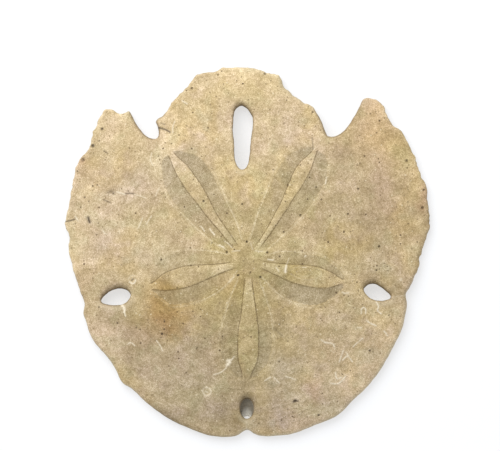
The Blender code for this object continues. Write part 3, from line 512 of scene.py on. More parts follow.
# Points along the fine lines on both sides of each petal's core
def petalPoints():
    form, points = petalRelief, []
    for petal in petals:
        start, end, length, along = petalAxis(petal)
        across = np.array([-along[1], along[0]])
        station = np.linspace(0, 1, round(length / form["lineStep"]) + 1)
        axis = start + np.outer(station, end - start)
        axis += np.outer(petal["bow"] * 4 * station * (1 - station), across)
        for sign, side in ((1, "leftCore"), (-1, "rightCore")):
            for offset in form["lineRows"]:
                row = axis + np.outer(sign * (smoothWidth(station, petal[side]) + offset), across)
                points.append(row - np.outer(wander(*row.T), across))
    return np.concatenate(points)


# Depth of round pits (x, y, radius, darkness) under the face, and their painted shade, 0 to 1 towards each pit's
# middle
def dimples(x, y, spots, depthShare):
    depth, shade = np.zeros_like(x), np.zeros_like(x)
    for px, py, radius, dark in spots:
        out = np.hypot(x - px, y - py) / radius
        depth = np.maximum(depth, depthShare * radius * np.clip(1 - out**2, 0, 1))
        shade = np.maximum(shade, dark * np.clip(pitShadeSharpness * (1 - out), 0, 1))
    return depth, shade


# Depth of an oval pit, and the painted shade inside it
def ovalPit(x, y, centre, halfWidth, halfLength, depth):
    out = ((x - centre[0]) / halfWidth) ** 2 + ((y - centre[1]) / halfLength) ** 2
    return depth * np.sqrt(np.clip(1 - out, 0, 1)), np.clip(underside["pitShadeSharpness"] * (1 - out), 0, 1)


# Copies of open lines at level offsets from them
def beside(lines, offsets):
    rows = []
    for line in lines:
        along = np.gradient(line, axis=0)
        along /= np.linalg.norm(along, axis=1)[:, None]
        across = np.stack([-along[:, 1], along[:, 0]], axis=1)
        rows += [line + across * offset for offset in offsets]
    return np.concatenate(rows)


def markLines(marks, step):
    return [smoothPath(knots, step, closed=False) for knots, width, strength in marks]


# How strongly each spot is marked by a set of thin marks
def markField(spots, marks, share):
    lines = markLines(marks, markRows["fineStep"])
    owner = np.concatenate([[number] * len(line) for number, line in enumerate(lines)])
    away, number = nearest(spots, np.concatenate(lines))
    width, strength = np.array([mark[1:] for mark in marks])[owner[number]].T
    return strength * bell(away, width * share)


def ringPoints(centre, radii, count):
    return np.concatenate([[centre]] + [oval(centre, radius, radius, count) for radius in radii])


# Drops every point that lies within its group's gap of one that came before it
def thinned(groups):
    points = np.concatenate([group for group, gap in groups])
    gaps = np.concatenate([[gap] * len(group) for group, gap in groups])
    tree = treeOf(points)
    kept = np.ones(len(points), bool)
    for number, (x, y) in enumerate(points):
        near = (other for _, other, _ in tree.find_range((x, y, 0), gaps[number]))
        kept[number] = not any(other < number and kept[other] for other in near)
    return points[kept]


def gridPoints(loop, spacing):
    low, high = loop.min(axis=0), loop.max(axis=0)
    points = []
    for number, y in enumerate(np.arange(low[1], high[1], spacing * math.sqrt(3) / 2)):
        row = np.arange(low[0] + spacing / 2 * (number % 2), high[0], spacing)
        points.append(np.stack([row, np.full(len(row), y)], axis=1))
    points = np.concatenate(points)
    return points + np.random.default_rng(5).uniform(-gridJitter, gridJitter, points.shape) * spacing


# Triangles over the points, inside the first loop and outside the others
def triangulated(loops, points):
    flat = [Vector(point) for point in np.concatenate(loops + [points])]
    edges = []
    first = 0
    for loop in loops:
        count = len(loop)
        edges += [(first + i, first + (i + 1) % count) for i in range(count)]
        first += count
    placed, _, triangles, _, _, _ = delaunay_2d_cdt(flat, edges, [], 0, 1e-7)
    placed, triangles = np.array(placed), np.array(triangles)
    triangles = triangles[inTheSolid(placed[triangles].mean(axis=1), loops)]
    a, b, c = (placed[triangles[:, corner]] for corner in range(3))
    turned = (b[:, 0] - a[:, 0]) * (c[:, 1] - a[:, 1]) - (b[:, 1] - a[:, 1]) * (c[:, 0] - a[:, 0]) < 0
    triangles[turned] = triangles[turned][:, ::-1]
    return placed, triangles


# Points and triangles of one face: rows beside its rims, then its details, then a grid
def facePoints(loops, layout, details):
    rims = np.concatenate(loops)
    rows = []
    for number, loop in enumerate(loops):
        inward = intoTheTest(loop, number > 0)
        for offset in layout["openingRows" if number else "marginRows"]:
            row = loop + inward * offset
            away, _ = nearest(row, rims)
            rows.append(row[away > offset * rowClear])
    coarse = [loops[0][::4]] + [loop[::3] for loop in loops[1:]]
    groups = [(np.concatenate(rows), layout["rowGap"])]
    groups += [(clearOf(coarse, group, layout["detailEdge"]), gap)
               for group, gap in zip(details, layout["detailGaps"])]
    grid = clearOf(coarse, gridPoints(loops[0], layout["grid"]), layout["gridEdge"])
    return triangulated(loops, thinned(groups + [(grid, layout["grid"] * gridGap)]))


# Unevenness of a face: always below 0, so nothing rises out of the CAD's box
def unevenness(x, y, layers):
    return sum(height * (bumps(x, y, size, seed) - 1) for size, height, seed in layers)


def patchField(x, y, patches, crispness):
    wx, wy = x, y
    for shift, size, seedX, seedY in patchWarp:
        wx, wy = wx + shift * bumps(x, y, size, seedX), wy + shift * bumps(x, y, size, seedY)
    field = np.zeros_like(x)
    for px, py, halfX, halfY, strength in patches:
        out = ((wx - px) / halfX) ** 2 + ((wy - py) / halfY) ** 2
        field += strength * np.exp(-(out**crispness))
    return field


# For each smooth stretch of the margin: 0 in it and 1 away from it
def roughness(x, y):
    for px, py, radius in test["smoothRims"]:
        low, high = test["smoothEdge"]
        yield ease(np.hypot(x - px, y - py), radius * low, radius * high)


# Painted shade and painted highlight along the margin, by which way each stretch of it faces the light
def marginPaintedShading(x, y, away, lit):
    shade = bell(away, rimPaintedShading["paintedShadeReach"]) * rimPaintedShading["dark"] * np.clip(rimPaintedShading["paintedShadeFrom"] - lit, 0, 1)
    light = bell(away, rimPaintedShading["paintedHighlightReach"]) * (rimPaintedShading["pale"] + rimPaintedShading["paintedHighlightAway"] * np.clip(-lit, 0, 1))
    turn = np.degrees(np.arctan2(y, x))
    for angle, spread, reach, strength in rimPaintedShading["paintedShadingStretches"]:
        near = np.exp(-((((turn - angle + 180) % 360 - 180) / spread) ** 4))
        tone = near * bell(away, reach)
        shade = np.maximum(shade, strength * tone)
        light = np.maximum(light * (1 - near), -strength * tone)
    # the notches' steep walls get painted shade and lose the painted highlight
    for rough in roughness(x, y):
        near = 1 - rough
        shade = np.maximum(shade, rimPaintedShading["notchPaintedShade"] * near * bell(away, rimPaintedShading["notchReach"]))
        light *= 1 - near
    return shade, light


def upperFace(loops):
    holes = [ringPoints((x, y), [r * share for share in pitRings], ringCount) for x, y, r, dark in pits]
    holes += [ringPoints(pore, apexStar["rings"], ringCount) for pore in apexStar["pores"]]
    lines = [beside(markLines(marks, markRows["step"]), markRows["offsets"])
             for marks in (paleMarks, darkMarks)]
    points, triangles = facePoints(loops, upperMesh, [np.concatenate(holes), *lines, petalPoints()])
    x, y = points.T
    relief, fields = petalFields(x, y)
    height = dome(x, y) + relief + unevenness(x, y, test["unevenness"])
    height += apexStar["rise"] * bell(np.hypot(x, y), apexStar["radius"])
    pores = [(*pore, apexStar["poreRadius"], 1) for pore in apexStar["pores"]]
    pitDepth, pitShade = dimples(x, y, pits, pitDepthShare)
    poreDepth, poreShade = dimples(x, y, pores, apexStar["poreDepth"])
    fields["pitShade"] = np.maximum(pitShade, poreShade)
    fields["paleMark"] = markField(points, paleMarks, markRows["paleWidth"])
    fields["darkMark"] = markField(points, darkMarks, markRows["darkWidth"])
    height += markRows["paleRise"] * fields["paleMark"] - markRows["darkDepth"] * fields["darkMark"]
    height -= np.maximum(pitDepth, poreDepth)
    # painted shade on the margin where it faces away from the light, and painted highlight where it faces it
    away, number = nearest(points, loops[0])
    lit = -intoTheTest(loops[0], False)[number] @ np.array(rimPaintedShading["towardsLight"])
    fields["rimShade"], rimPaintedLight = marginPaintedShading(x, y, away, lit)
    height = test["marginTop"] + (height - test["marginTop"]) * rounding(away, test["marginLip"])

    # painted shade round the openings' lips, more on their rear sides that face away from the light; painted
    # highlight on their front lips, joined with the margin's
    facing = np.concatenate([intoTheTest(loop, True) for loop in loops[1:]])[:, 1]
    away, number = nearest(points, np.concatenate(loops[1:]))
    rear, front = np.clip(facing[number], 0, 1), np.clip(-facing[number], 0, 1)
    (dark, paintedShadeReach), (rearPaintedShade, rearReach) = rimPaintedShading["paintedLipShadeStrength"], rimPaintedShading["paintedRearLipShadeStrength"]
    fields["lipShade"] = dark * bell(away, paintedShadeReach) + rearPaintedShade * rear * bell(away, rearReach)
    pale, paintedLightFrom, paintedHighlightReach = rimPaintedShading["paintedLipHighlight"]
    fields["lipLight"] = np.maximum(pale * front * bell(away - paintedLightFrom, paintedHighlightReach), rimPaintedLight)
    lip = test["frontLip"] + (test["rearLip"] - test["frontLip"]) * rear
    drop = test["frontDrop"] + (test["rearDrop"] - test["frontDrop"]) * rear
    height -= drop * (1 - rounding(away, lip))
    for name, patches in stains.items():
        fields[name] = patchField(x, y, patches, crispPatches.get(name, 1))
    return points, height, triangles, fields


# Points (far, degrees) round the apex, as x and y
def spokes(angle, polar):
    ways = [(far, math.radians(angle + turn)) for far, turn in polar]
    return [(far * math.cos(way), far * math.sin(way)) for far, way in ways]


# Forked grooves from the mouth, and the short twigs beside them
def foodGrooves():
    grooves, twigs = [], []
    spread = np.random.default_rng(underside["seed"])
    for angle in underside["angles"]:
        for side in (-1, 1):
            polar = [(far, side * turn) for far, turn in underside["branch"]]
            if side > 0:
                polar = [(far, 0) for far in underside["trunk"]] + polar[1:]
            line = smoothPath(spokes(angle, polar), underside["grooveStep"], closed=False)
            grooves.append(line)
            for start in np.linspace(*underside["twigsFrom"], underside["twigs"]):
                i = int(start * (len(line) - 2))
                way = math.atan2(*(line[i + 1] - line[i])[::-1])
                for turn in (-1, 1):
                    heading = way + turn * math.radians(spread.uniform(*underside["twigTurn"]))
                    length = spread.uniform(*underside["twigLength"])
                    bend = heading - turn * math.radians(spread.uniform(*underside["twigBend"]))
                    half = line[i] + np.array([math.cos(heading), math.sin(heading)]) * length / 2
                    end = half + np.array([math.cos(bend), math.sin(bend)]) * length / 2
                    twigs.append(smoothPath([line[i], half, end], underside["twigStep"], closed=False))
    return grooves, twigs


def lowerFace(loops):
    channels = list(zip(foodGrooves(), (underside["grooves"], underside["twiglets"])))
    holes = [ringPoints(underside[name][0], *underside[name + "Rings"]) for name in ("mouth", "vent")]
    details = [np.concatenate(holes)] + [beside(lines, form["rows"]) for lines, form in channels]
    points, triangles = facePoints(loops, lowerMesh, details)
    x, y = points.T
    height = underside["hollowDepth"] * (1 - ease(np.hypot(x, y), 0, underside["hollowRadius"]))
    shade = np.zeros_like(x)
    for lines, form in channels:
        fine = [smoothPath(line, underside["fineStep"], closed=False) for line in lines]
        away, _ = nearest(points, np.concatenate(fine))
        ink, full, end = form["ink"]
        shade = np.maximum(shade, ink * (1 - ease(away, full, end)))
        height += form["depth"] * (1 - ease(away, 0, form["halfWidth"]))
    mouthDepth, mouthShade = ovalPit(x, y, *underside["mouth"])
    ventDepth, ventShade = ovalPit(x, y, *underside["vent"])
    height += mouthDepth + ventDepth
    for rim, foot, lip in ((loops[0], test["marginFoot"], test["footLip"]),
                           (np.concatenate(loops[1:]), test["openingFoot"], test["openingFootLip"])):
        away, _ = nearest(points, rim)
        height += foot * (1 - rounding(away, lip))
    risen = ease(height + underside["restShift"], *underside["restEase"])
    height -= unevenness(x, y, test["lowerUnevenness"]) * risen
    fields = {"grooveShade": shade, "pitShade": np.maximum(mouthShade, ventShade)}
    return points, height - height.min(), triangles[:, ::-1], fields


def addObject(name, data):
    made = bpy.data.objects.new(name, data)
    bpy.context.scene.collection.objects.link(made)
    return made


# The margin and the three straight openings, with worn rims that are always cut into the test
def wornLoops():
    loops = [smoothPath(margin, test["rimStep"])]
    loops += [smoothPath(knots, test["openingStep"]) for knots in (rearLunule, leftLunule, rightLunule)]
    lowRim, highRim = loops[0].min(axis=0), loops[0].max(axis=0)
    for number, loop in enumerate(loops):
        wear = test["leastWear"]
        for share, size, seed in test["wearCourse"]:
            wear = wear + share * bumps(*loop.T, size, seed)
        depth = test["frontWear"] + (test["rimWear"] - test["frontWear"]) * ease(loop[:, 1], *test["frontEdge"])
        if number:
            depth = np.full(len(loop), test["openingWear"])
        for rough in roughness(*loop.T):
            depth *= test["smoothWear"] + (1 - test["smoothWear"]) * rough
        loop += intoTheTest(loop, number > 0) * (depth * wear)[:, None]
        loop[:] = np.clip(loop, lowRim, highRim)
    return loops


def buildTest():
    loops = wornLoops()
    above, below = (oval(*rim, test["ovalPoints"]) for rim in (frontLunuleAbove, frontLunuleBelow))
    upper = upperFace(loops + [above])
    print("upper face:", len(upper[0]), "points")
    lower = lowerFace(loops + [below])
    print("lower face:", len(lower[0]), "points")

    places = [np.column_stack(face[:2]) for face in (upper, lower)]
    lowerFirst, made = len(places[0]), len(places[0]) + len(places[1])
    faces = [upper[2], lower[2] + lowerFirst]
    slots = [np.zeros(len(faces[0]), int), np.ones(len(faces[1]), int)]
    depths = np.zeros(made)  # share of the way down the wall of the front opening
    first = 0
    for number, loop in enumerate(loops + [above]):  # walls between the faces' rims
        count, slanting, isMargin = len(loop), number == len(loops), number == 0
        rim = np.arange(first, first + count)
        depths[rim + lowerFirst] = slanting
        high, low = places[0][rim], places[1][rim]
        rows = test["marginWallRows" if isMargin else "wallRows"]
        outward = -intoTheTest(high[:, :2], not isMargin)
        numbers = [rim]
        for row in range(1, rows + 1):
            share = row / (rows + 1)
            ring = high * (1 - share) + low * share
            x, y, z = ring.T
            lump = bumps(x + z * 1.7, y - z * 1.3, test["wallLump"], test["wallSeed"] + number) - 1
            lump = lump * (test["marginRoughness"] if isMargin else 1)
            ring[:, :2] += outward * (test["wallRoughness"] * lump * math.sin(math.pi * share))[:, None]
            numbers.append(np.arange(made, made + count))
            places.append(ring)
            depths = np.append(depths, np.full(count, share * slanting))
            made += count
        numbers.append(rim + lowerFirst)
        for top, bottom in zip(numbers, numbers[1:]):
            topNext, bottomNext = np.roll(top, -1), np.roll(bottom, -1)
            for a, b in ((topNext, bottomNext), (bottomNext, bottom)):
                faces.append(np.stack((top, a, b) if isMargin else (top, b, a), axis=1))
                slots.append(np.full(count, 0 if isMargin else 2))
        first += count

    places = np.concatenate(places)
    places[:, :2] -= middle
    mesh = bpy.data.meshes.new("sandDollar")
    mesh.from_pydata((places * mm).tolist(), [], np.concatenate(faces).tolist())
    mesh.polygons.foreach_set("material_index", np.concatenate(slots))
    resting = {"lineDistance": 5, "bandDistance": 9}
    fields = {"wallDepth": depths}
    for start, face in ((0, upper), (lowerFirst, lower)):
        for name, values in face[3].items():
            field = fields.setdefault(name, np.full(len(places), float(resting.get(name, 0))))
            field[start:start + len(values)] = values
    for name in sorted(fields):
        mesh.attributes.new(name, "FLOAT", "POINT").data.foreach_set("value", fields[name].astype(np.float32))
    mesh.validate()
    mesh.shade_smooth()
    mesh.set_sharp_from_angle(angle=math.radians(test["sharpFrom"]))
    print("test:", len(mesh.vertices), "points,", len(mesh.polygons), "triangles")
    return addObject("sandDollar", mesh)


# Small helpers for the materials: a value goes onto a socket, and an output is linked to it
def feed(tree, value, socket):
    if isinstance(value, bpy.types.NodeSocket):
        tree.links.new(value, socket)
    else:
        socket.default_value = value


def calc(tree, operation, *values, clamp=False):
    node = tree.nodes.new("ShaderNodeMath")
    node.operation = operation
    node.use_clamp = clamp
    for value, socket in zip(values, node.inputs):
        feed(tree, value, socket)
    return node.outputs[0]


def times(tree, first, second):
    return calc(tree, "MULTIPLY", first, second)


# A value times a share, plus another
def scaled(tree, value, share, plus):
    return calc(tree, "MULTIPLY_ADD", value, share, plus)


def ramp(tree, value, low, high, bottom=0, top=1):
    node = tree.nodes.new("ShaderNodeMapRange")
    node.interpolation_type = "SMOOTHSTEP"
    for number, setting in enumerate((value, low, high, bottom, top)):
        feed(tree, setting, node.inputs[number])
    return node.outputs[0]


def mixColour(tree, factor, under, over, blend="MIX"):
    node = tree.nodes.new("ShaderNodeMix")
    node.data_type = "RGBA"
    node.blend_type = blend
    for value, number in ((factor, 0), (under, 6), (over, 7)):
        feed(tree, (*value, 1) if isinstance(value, tuple) else value, node.inputs[number])
    return node.outputs[2]


# Lays a colour over another where a mask is, at the given strength
def layOver(tree, colour, mask, strength, over, blend="MIX"):
    return mixColour(tree, times(tree, mask, strength), colour, over, blend)


def combined(tree, *channels):
    node = tree.nodes.new("ShaderNodeCombineColor")
    for value, socket in zip(channels, node.inputs):
        feed(tree, value, socket)
    return node.outputs[0]


def readField(tree, name):
    node = tree.nodes.new("ShaderNodeAttribute")
    node.attribute_name = name
    return node.outputs["Fac"]


# Object coordinates in mm, moved aside so that two uses of one pattern differ
def placeInMm(tree, shift=0):
    coordinates = tree.nodes.new("ShaderNodeTexCoord")
    node = tree.nodes.new("ShaderNodeVectorMath")
    node.operation = "MULTIPLY_ADD"
    tree.links.new(coordinates.outputs["Object"], node.inputs[0])
    node.inputs[1].default_value = (1000, 1000, 1000)
    node.inputs[2].default_value = (shift, shift * 0.7, shift * 0.3)
    return node.outputs[0]


def noiseAt(tree, place, scale, detail=3):
    node = tree.nodes.new("ShaderNodeTexNoise")
    node.inputs["Roughness"].default_value = 0.55
    for name, value in (("Vector", place), ("Scale", scale), ("Detail", detail)):
        feed(tree, value, node.inputs[name])
    return node.outputs["Fac"]


# Cells of a spacing in mm
def cellsAt(tree, place, spacing):
    node = tree.nodes.new("ShaderNodeTexVoronoi")
    feed(tree, place, node.inputs["Vector"])
    feed(tree, calc(tree, "DIVIDE", 1, spacing), node.inputs["Scale"])
    return node


# A node group with a place in mm, numbers with these values, and numbers that it puts out
def newGroup(name, outputs, **numbers):
    tree = bpy.data.node_groups.new(name, "ShaderNodeTree")
    tree.interface.new_socket("Place", in_out="INPUT", socket_type="NodeSocketVector")
    for socket, value in numbers.items():
        made = tree.interface.new_socket(socket, in_out="INPUT", socket_type="NodeSocketFloat")
        made.default_value = value
    for socket in outputs:
        tree.interface.new_socket(socket, in_out="OUTPUT", socket_type="NodeSocketFloat")
    return tree, tree.nodes.new("NodeGroupInput").outputs, tree.nodes.new("NodeGroupOutput").inputs


patterns = {
    "knobEdge": (0.1, 0.6), "hollowEdge": (0.4, 0.8), "knobScatter": 0.75,
    "waverScale": 1.3, "waverReach": 0.35, "wornScale": 0.9, "wornEdge": (0.35, 0.6), "lineEdge": (0.25, 1.5),
    "veinDetail": 1.5, "veinWornScale": 1.7, "veinFade": 0.6,
}


# Cloudy patches of soil colour: one size of mottle, from 0 to 1 round a middle of 0.5
def makeSoilMottle():
    tree, given, put = newGroup("soilMottle", ["Mask"], Size=2, Contrast=3, Detail=3)
    raw = noiseAt(tree, given["Place"], calc(tree, "DIVIDE", 1, given["Size"]), given["Detail"])
    spread = times(tree, calc(tree, "SUBTRACT", raw, 0.5), given["Contrast"])
    feed(tree, calc(tree, "ADD", spread, 0.5, clamp=True), put["Mask"])
    return tree


# The close-set tubercles that carried the spines: their height in mm, and the hollows between them
def makeTubercles():
    tree, given, put = newGroup("tubercles", ["Height", "Hollow"], Spacing=0.5, Height=0.05)
    cells = cellsAt(tree, given["Place"], given["Spacing"])
    cells.inputs["Randomness"].default_value = patterns["knobScatter"]
    knob = ramp(tree, cells.outputs["Distance"], *patterns["knobEdge"], 1, 0)
    feed(tree, times(tree, knob, given["Height"]), put["Height"])
    feed(tree, ramp(tree, cells.outputs["Distance"], *patterns["hollowEdge"]), put["Hollow"])
    return tree


# Scattered specks of one radius in mm; Amount is the share of cells that hold one
def makeSpecks():
    tree, given, put = newGroup("specks", ["Mask"], Spacing=1.5, Radius=0.2, Amount=0.3)
    cells = cellsAt(tree, given["Place"], given["Spacing"])
    away = times(tree, cells.outputs["Distance"], given["Spacing"])
    dice = tree.nodes.new("ShaderNodeSeparateColor")
    tree.links.new(cells.outputs["Color"], dice.inputs[0])
    chosen = calc(tree, "LESS_THAN", dice.outputs["Red"], given["Amount"])
    radius = times(tree, given["Radius"], calc(tree, "ADD", dice.outputs["Green"], 0.5))
    spot = ramp(tree, away, times(tree, radius, 0.5), radius, 1, 0)
    feed(tree, times(tree, spot, chosen), put["Mask"])
    return tree


# A thin line where Distance is 0 mm, wavering and broken here and there
def makeHairline():
    tree, given, put = newGroup("hairline", ["Mask"], Distance=0, Width=0.2, Break=0.3)
    waver = calc(tree, "SUBTRACT", noiseAt(tree, given["Place"], patterns["waverScale"]), 0.5)
    waver = times(tree, waver, patterns["waverReach"])
    away = calc(tree, "ABSOLUTE", calc(tree, "ADD", given["Distance"], waver))
    line = ramp(tree, away, *(times(tree, given["Width"], share) for share in patterns["lineEdge"]), 1, 0)
    worn = ramp(tree, noiseAt(tree, given["Place"], patterns["wornScale"]), *patterns["wornEdge"])
    gap = times(tree, given["Break"], calc(tree, "SUBTRACT", 1, worn))
    feed(tree, times(tree, line, calc(tree, "SUBTRACT", 1, gap)), put["Mask"])
    return tree


# Fine wriggling lines along the level lines of a noise, broken here and there
def makeVeins():
    tree, given, put = newGroup("veins", ["Mask"], Size=2, Width=0.04, Break=0.6)
    scale = calc(tree, "DIVIDE", 1, given["Size"])
    level = noiseAt(tree, given["Place"], scale, patterns["veinDetail"])
    away = calc(tree, "ABSOLUTE", calc(tree, "SUBTRACT", level, 0.5))
    line = ramp(tree, away, 0, given["Width"], 1, 0)
    worn = noiseAt(tree, given["Place"], times(tree, scale, patterns["veinWornScale"]), 1)
    shown = ramp(tree, worn, times(tree, given["Break"], patterns["veinFade"]), given["Break"])
    feed(tree, times(tree, line, shown), put["Mask"])
    return tree


groups = {"soilMottle": makeSoilMottle(), "veins": makeVeins(), "tubercles": makeTubercles(),
          "specks": makeSpecks(), "hairline": makeHairline()}


def useGroup(tree, name, shift=0, **values):
    node = tree.nodes.new("ShaderNodeGroup")
    node.node_tree = groups[name]
    tree.links.new(placeInMm(tree, shift), node.inputs["Place"])
    for socket, value in values.items():
        feed(tree, value, node.inputs[socket])
    return node.outputs


def mottle(tree, shift, size, contrast, detail=3):
    return useGroup(tree, "soilMottle", shift, Size=size, Contrast=contrast, Detail=detail)["Mask"]


def specksOf(tree, shift, spacing, radius, amount):
    return useGroup(tree, "specks", shift, Spacing=spacing, Radius=radius, Amount=amount)["Mask"]


def lineAt(tree, distance, width, breaks):
    return useGroup(tree, "hairline", Distance=distance, Width=width, Break=breaks)["Mask"]


def newMaterial(name):
    material = bpy.data.materials.new(name)
    material.use_nodes = True
    shader = material.node_tree.nodes["Principled BSDF"]
    shader.inputs["Specular IOR Level"].default_value = 0.25
    return material, material.node_tree, shader


# Colour, fine relief (heights in mm) and roughness onto a shader
def dress(tree, shader, colour, height, strength, roughness):
    node = tree.nodes.new("ShaderNodeBump")
    node.inputs["Strength"].default_value = strength
    node.inputs["Distance"].default_value = mm
    tree.links.new(height, node.inputs["Height"])
    for value, name in ((colour, "Base Color"), (node.outputs[0], "Normal"), (roughness, "Roughness")):
        feed(tree, value, shader.inputs[name])


# Lays one of the look's colours where a field is, broken up by a pattern
def stain(tree, look, colour, name, strength, over, pattern=1, blend="MIX"):
    return layOver(tree, colour, times(tree, readField(tree, name), pattern), strength, look[over], blend)


# Sun-bleached buff shell of the upper face, stained by the soil it lay in
upperLooks = {
    "ground": (0.594, 0.468, 0.285), "yellow": (0.61, 0.465, 0.235), "pink": (0.61, 0.468, 0.325),
    "green": (0.55, 0.468, 0.275), "light": (0.84, 0.73, 0.52), "dark": (0.29, 0.205, 0.11),
    "band": (0.81, 0.83, 0.87), "fringe": (0.76, 0.65, 0.45), "line": (0.13, 0.085, 0.042),
    "cream": (0.89, 0.79, 0.61), "sootAndPitShade": (0.07, 0.05, 0.035), "blot": (0.86, 0.79, 0.68),
    # clouds of soil colour: size, and for each colour the mottle it starts and ends at, and its strength
    "hues": ((16, ((0.5, 1, 0.75, "yellow"), (0.5, 0, 0.8, "pink"))),
             (6, ((0.55, 1, 0.5, "green"), (0.45, 0, 0.42, "pink")))),
    "hueContrast": 2.4, "rustTint": (0.4, -0.6), "blotStrength": 0.72,
    "tones": ((5, 0.25), (2.3, 0.24), (1.1, 0.24), (0.55, 0.31), (9, 0.2)), "toneContrast": 2.8,
    "toneCurve": (0.87, 0.97, 1.25),  # darker spots are also browner: exponents of red, green and blue
    "bandRagged": (0.44, -0.22), "bandEdge": (0.2, -0.35), "bandFrom": 0.4, "bandGround": 0.4, "coreFrom": -0.5,
    "bandStripe": 0.62, "stripeTone": -0.08, "coreStrength": 0.32, "fringeAt": 0.7, "fringeStrength": 0.2,
    "seamIn": 0.35, "seam": (0.22, 0.6), "seamStrength": 0.5, "petalLine": (0.2, 0.38), "lineStrength": 0.72,
    "grainSpacing": 0.36, "grainTone": (0.48, 0.775),
    # shift, spacing, radius and share of specks, with strength and colour
    "specks": ((0, 1.4, 0.26, 0.6, 0.8, "dark"), (67, 2.4, 0.3, 0.48, 0.9, "line"),
               (53, 1.7, 0.25, 0.45, 0.62, "light")),
    "dirt": (43, 0.95, 0.26, 0.5), "dirtStrength": 0.9, "crumbScale": 2.2, "crumbs": (0.36, 0.52, 0.45, 1.15),
    "veins": {"Size": 2.2, "Width": 0.035, "Break": 0.75},
    # the first three lay painted shade and painted highlight along the margin and the openings' lips; pitShade
    # lays painted shade in the pits
    "marks": (("rimShade", 1, "line"), ("lipShade", 1, "line"), ("lipLight", 0.5, "light"),
              ("crust", 0.68, "light"), ("paleMark", 1, "cream"), ("darkMark", 0.85, "sootAndPitShade"),
              ("pitShade", 0.85, "sootAndPitShade")),
    "knobs": {"Spacing": 0.45, "Height": 0.04}, "roughness": (0.78, 0.95), "bump": 0.6,
    # relief in mm of the grain, the third and second tones, the stripes, the petals' lines and the dark specks
    "heights": (0.03, 0.1, 0.12, -0.05, -0.06, -0.1),
}


def upperMaterial():
    look = upperLooks
    material, tree, shader = newMaterial("fossilUpper")
    colour = look["ground"]
    for count, (size, hues) in enumerate(look["hues"]):
        cloud = mottle(tree, 17 * count, size, look["hueContrast"], 1)
        for start, end, strength, over in hues:
            colour = layOver(tree, colour, ramp(tree, cloud, start, end), strength, look[over])
    # the bleach field is partly real bleaching and partly painted highlight and painted shade
    light, rust = calc(tree, "ADD", 1, readField(tree, "bleach")), readField(tree, "rust")
    red, green = (scaled(tree, rust, share, light) for share in look["rustTint"])
    tint = combined(tree, red, green, calc(tree, "SUBTRACT", light, readField(tree, "yellow")))
    colour = mixColour(tree, 1, colour, tint, "MULTIPLY")
    colour = stain(tree, look, colour, "blot", look["blotStrength"], "blot", blend="MULTIPLY")
    tones, tone = [], 1
    for count, (size, amount) in enumerate(look["tones"]):
        tones.append(mottle(tree, 29 * count, size, look["toneContrast"]))
        tone = times(tree, tone, scaled(tree, tones[-1], amount, 1 - amount / 2))

    lineAway, bandAway = readField(tree, "lineDistance"), readField(tree, "bandDistance")
    ragged = calc(tree, "ADD", bandAway, scaled(tree, tones[2], *look["bandRagged"]))
    band = times(tree, ramp(tree, ragged, *look["bandEdge"]), ramp(tree, lineAway, 0, look["bandFrom"]))
    band = times(tree, band, readField(tree, "bandTone"))
    colour = layOver(tree, colour, band, look["bandGround"], look["ground"])
    colour = mixColour(tree, band, colour, look["band"], "MULTIPLY")
    core = ramp(tree, lineAway, 0, look["coreFrom"])
    colour = stain(tree, look, colour, "coreLight", look["coreStrength"], "light", core)
    fringe = calc(tree, "ABSOLUTE", calc(tree, "SUBTRACT", ragged, look["fringeAt"]))
    fringe = ramp(tree, fringe, look["fringeAt"], 0)
    colour = stain(tree, look, colour, "petalFade", look["fringeStrength"], "fringe", fringe)
    seam = lineAt(tree, calc(tree, "SUBTRACT", bandAway, look["seamIn"]), *look["seam"])
    colour = stain(tree, look, colour, "seam", look["seamStrength"], "light", seam)
    wave = calc(tree, "SINE", times(tree, readField(tree, "bandRow"), 2 * math.pi / look["bandStripe"]))
    stripe = calc(tree, "MULTIPLY", band, scaled(tree, wave, 0.5, 0.5), clamp=True)
    tone = times(tree, tone, scaled(tree, stripe, look["stripeTone"], 1))

    grain = useGroup(tree, "tubercles", 91, Spacing=look["grainSpacing"], Height=1)["Height"]
    tone = times(tree, tone, scaled(tree, grain, *look["grainTone"]))
    shade = combined(tree, *(calc(tree, "POWER", tone, exponent) for exponent in look["toneCurve"]))
    colour = mixColour(tree, 1, colour, shade, "MULTIPLY")
    specks = [specksOf(tree, *kind[:4]) for kind in look["specks"]]
    for mask, (*_, strength, over) in zip(specks, look["specks"]):
        colour = layOver(tree, colour, mask, strength, look[over])
    colour = stain(tree, look, colour, "dirt", look["dirtStrength"], "line", specksOf(tree, *look["dirt"]))
    line = times(tree, lineAt(tree, lineAway, *look["petalLine"]), readField(tree, "petalFade"))
    colour = layOver(tree, colour, line, look["lineStrength"], look["line"])
    crumbs = ramp(tree, noiseAt(tree, placeInMm(tree), look["crumbScale"], 2), *look["crumbs"])
    broken = {"crust": useGroup(tree, "veins", **look["veins"])["Mask"], "paleMark": crumbs}
    for name, strength, over in look["marks"]:
        colour = stain(tree, look, colour, name, strength, over, broken.get(name, 1))

    height = useGroup(tree, "tubercles", **look["knobs"])["Height"]
    for mask, share in zip((grain, tones[2], tones[1], stripe, line, specks[0]), look["heights"]):
        height = scaled(tree, mask, share, height)
    dress(tree, shader, colour, height, look["bump"], ramp(tree, tones[0], 0, 1, *look["roughness"]))
    return material


# Two sizes of mottle over a ground, for the lower face and the walls
def mottledGround(tree, look):
    broad, small = mottle(tree, *look["broad"]), mottle(tree, *look["small"])
    colour = mixColour(tree, broad, look["ground"], look["light"])
    return layOver(tree, colour, ramp(tree, small, 0.5, 0), 0.5, look["dark"]), broad, small


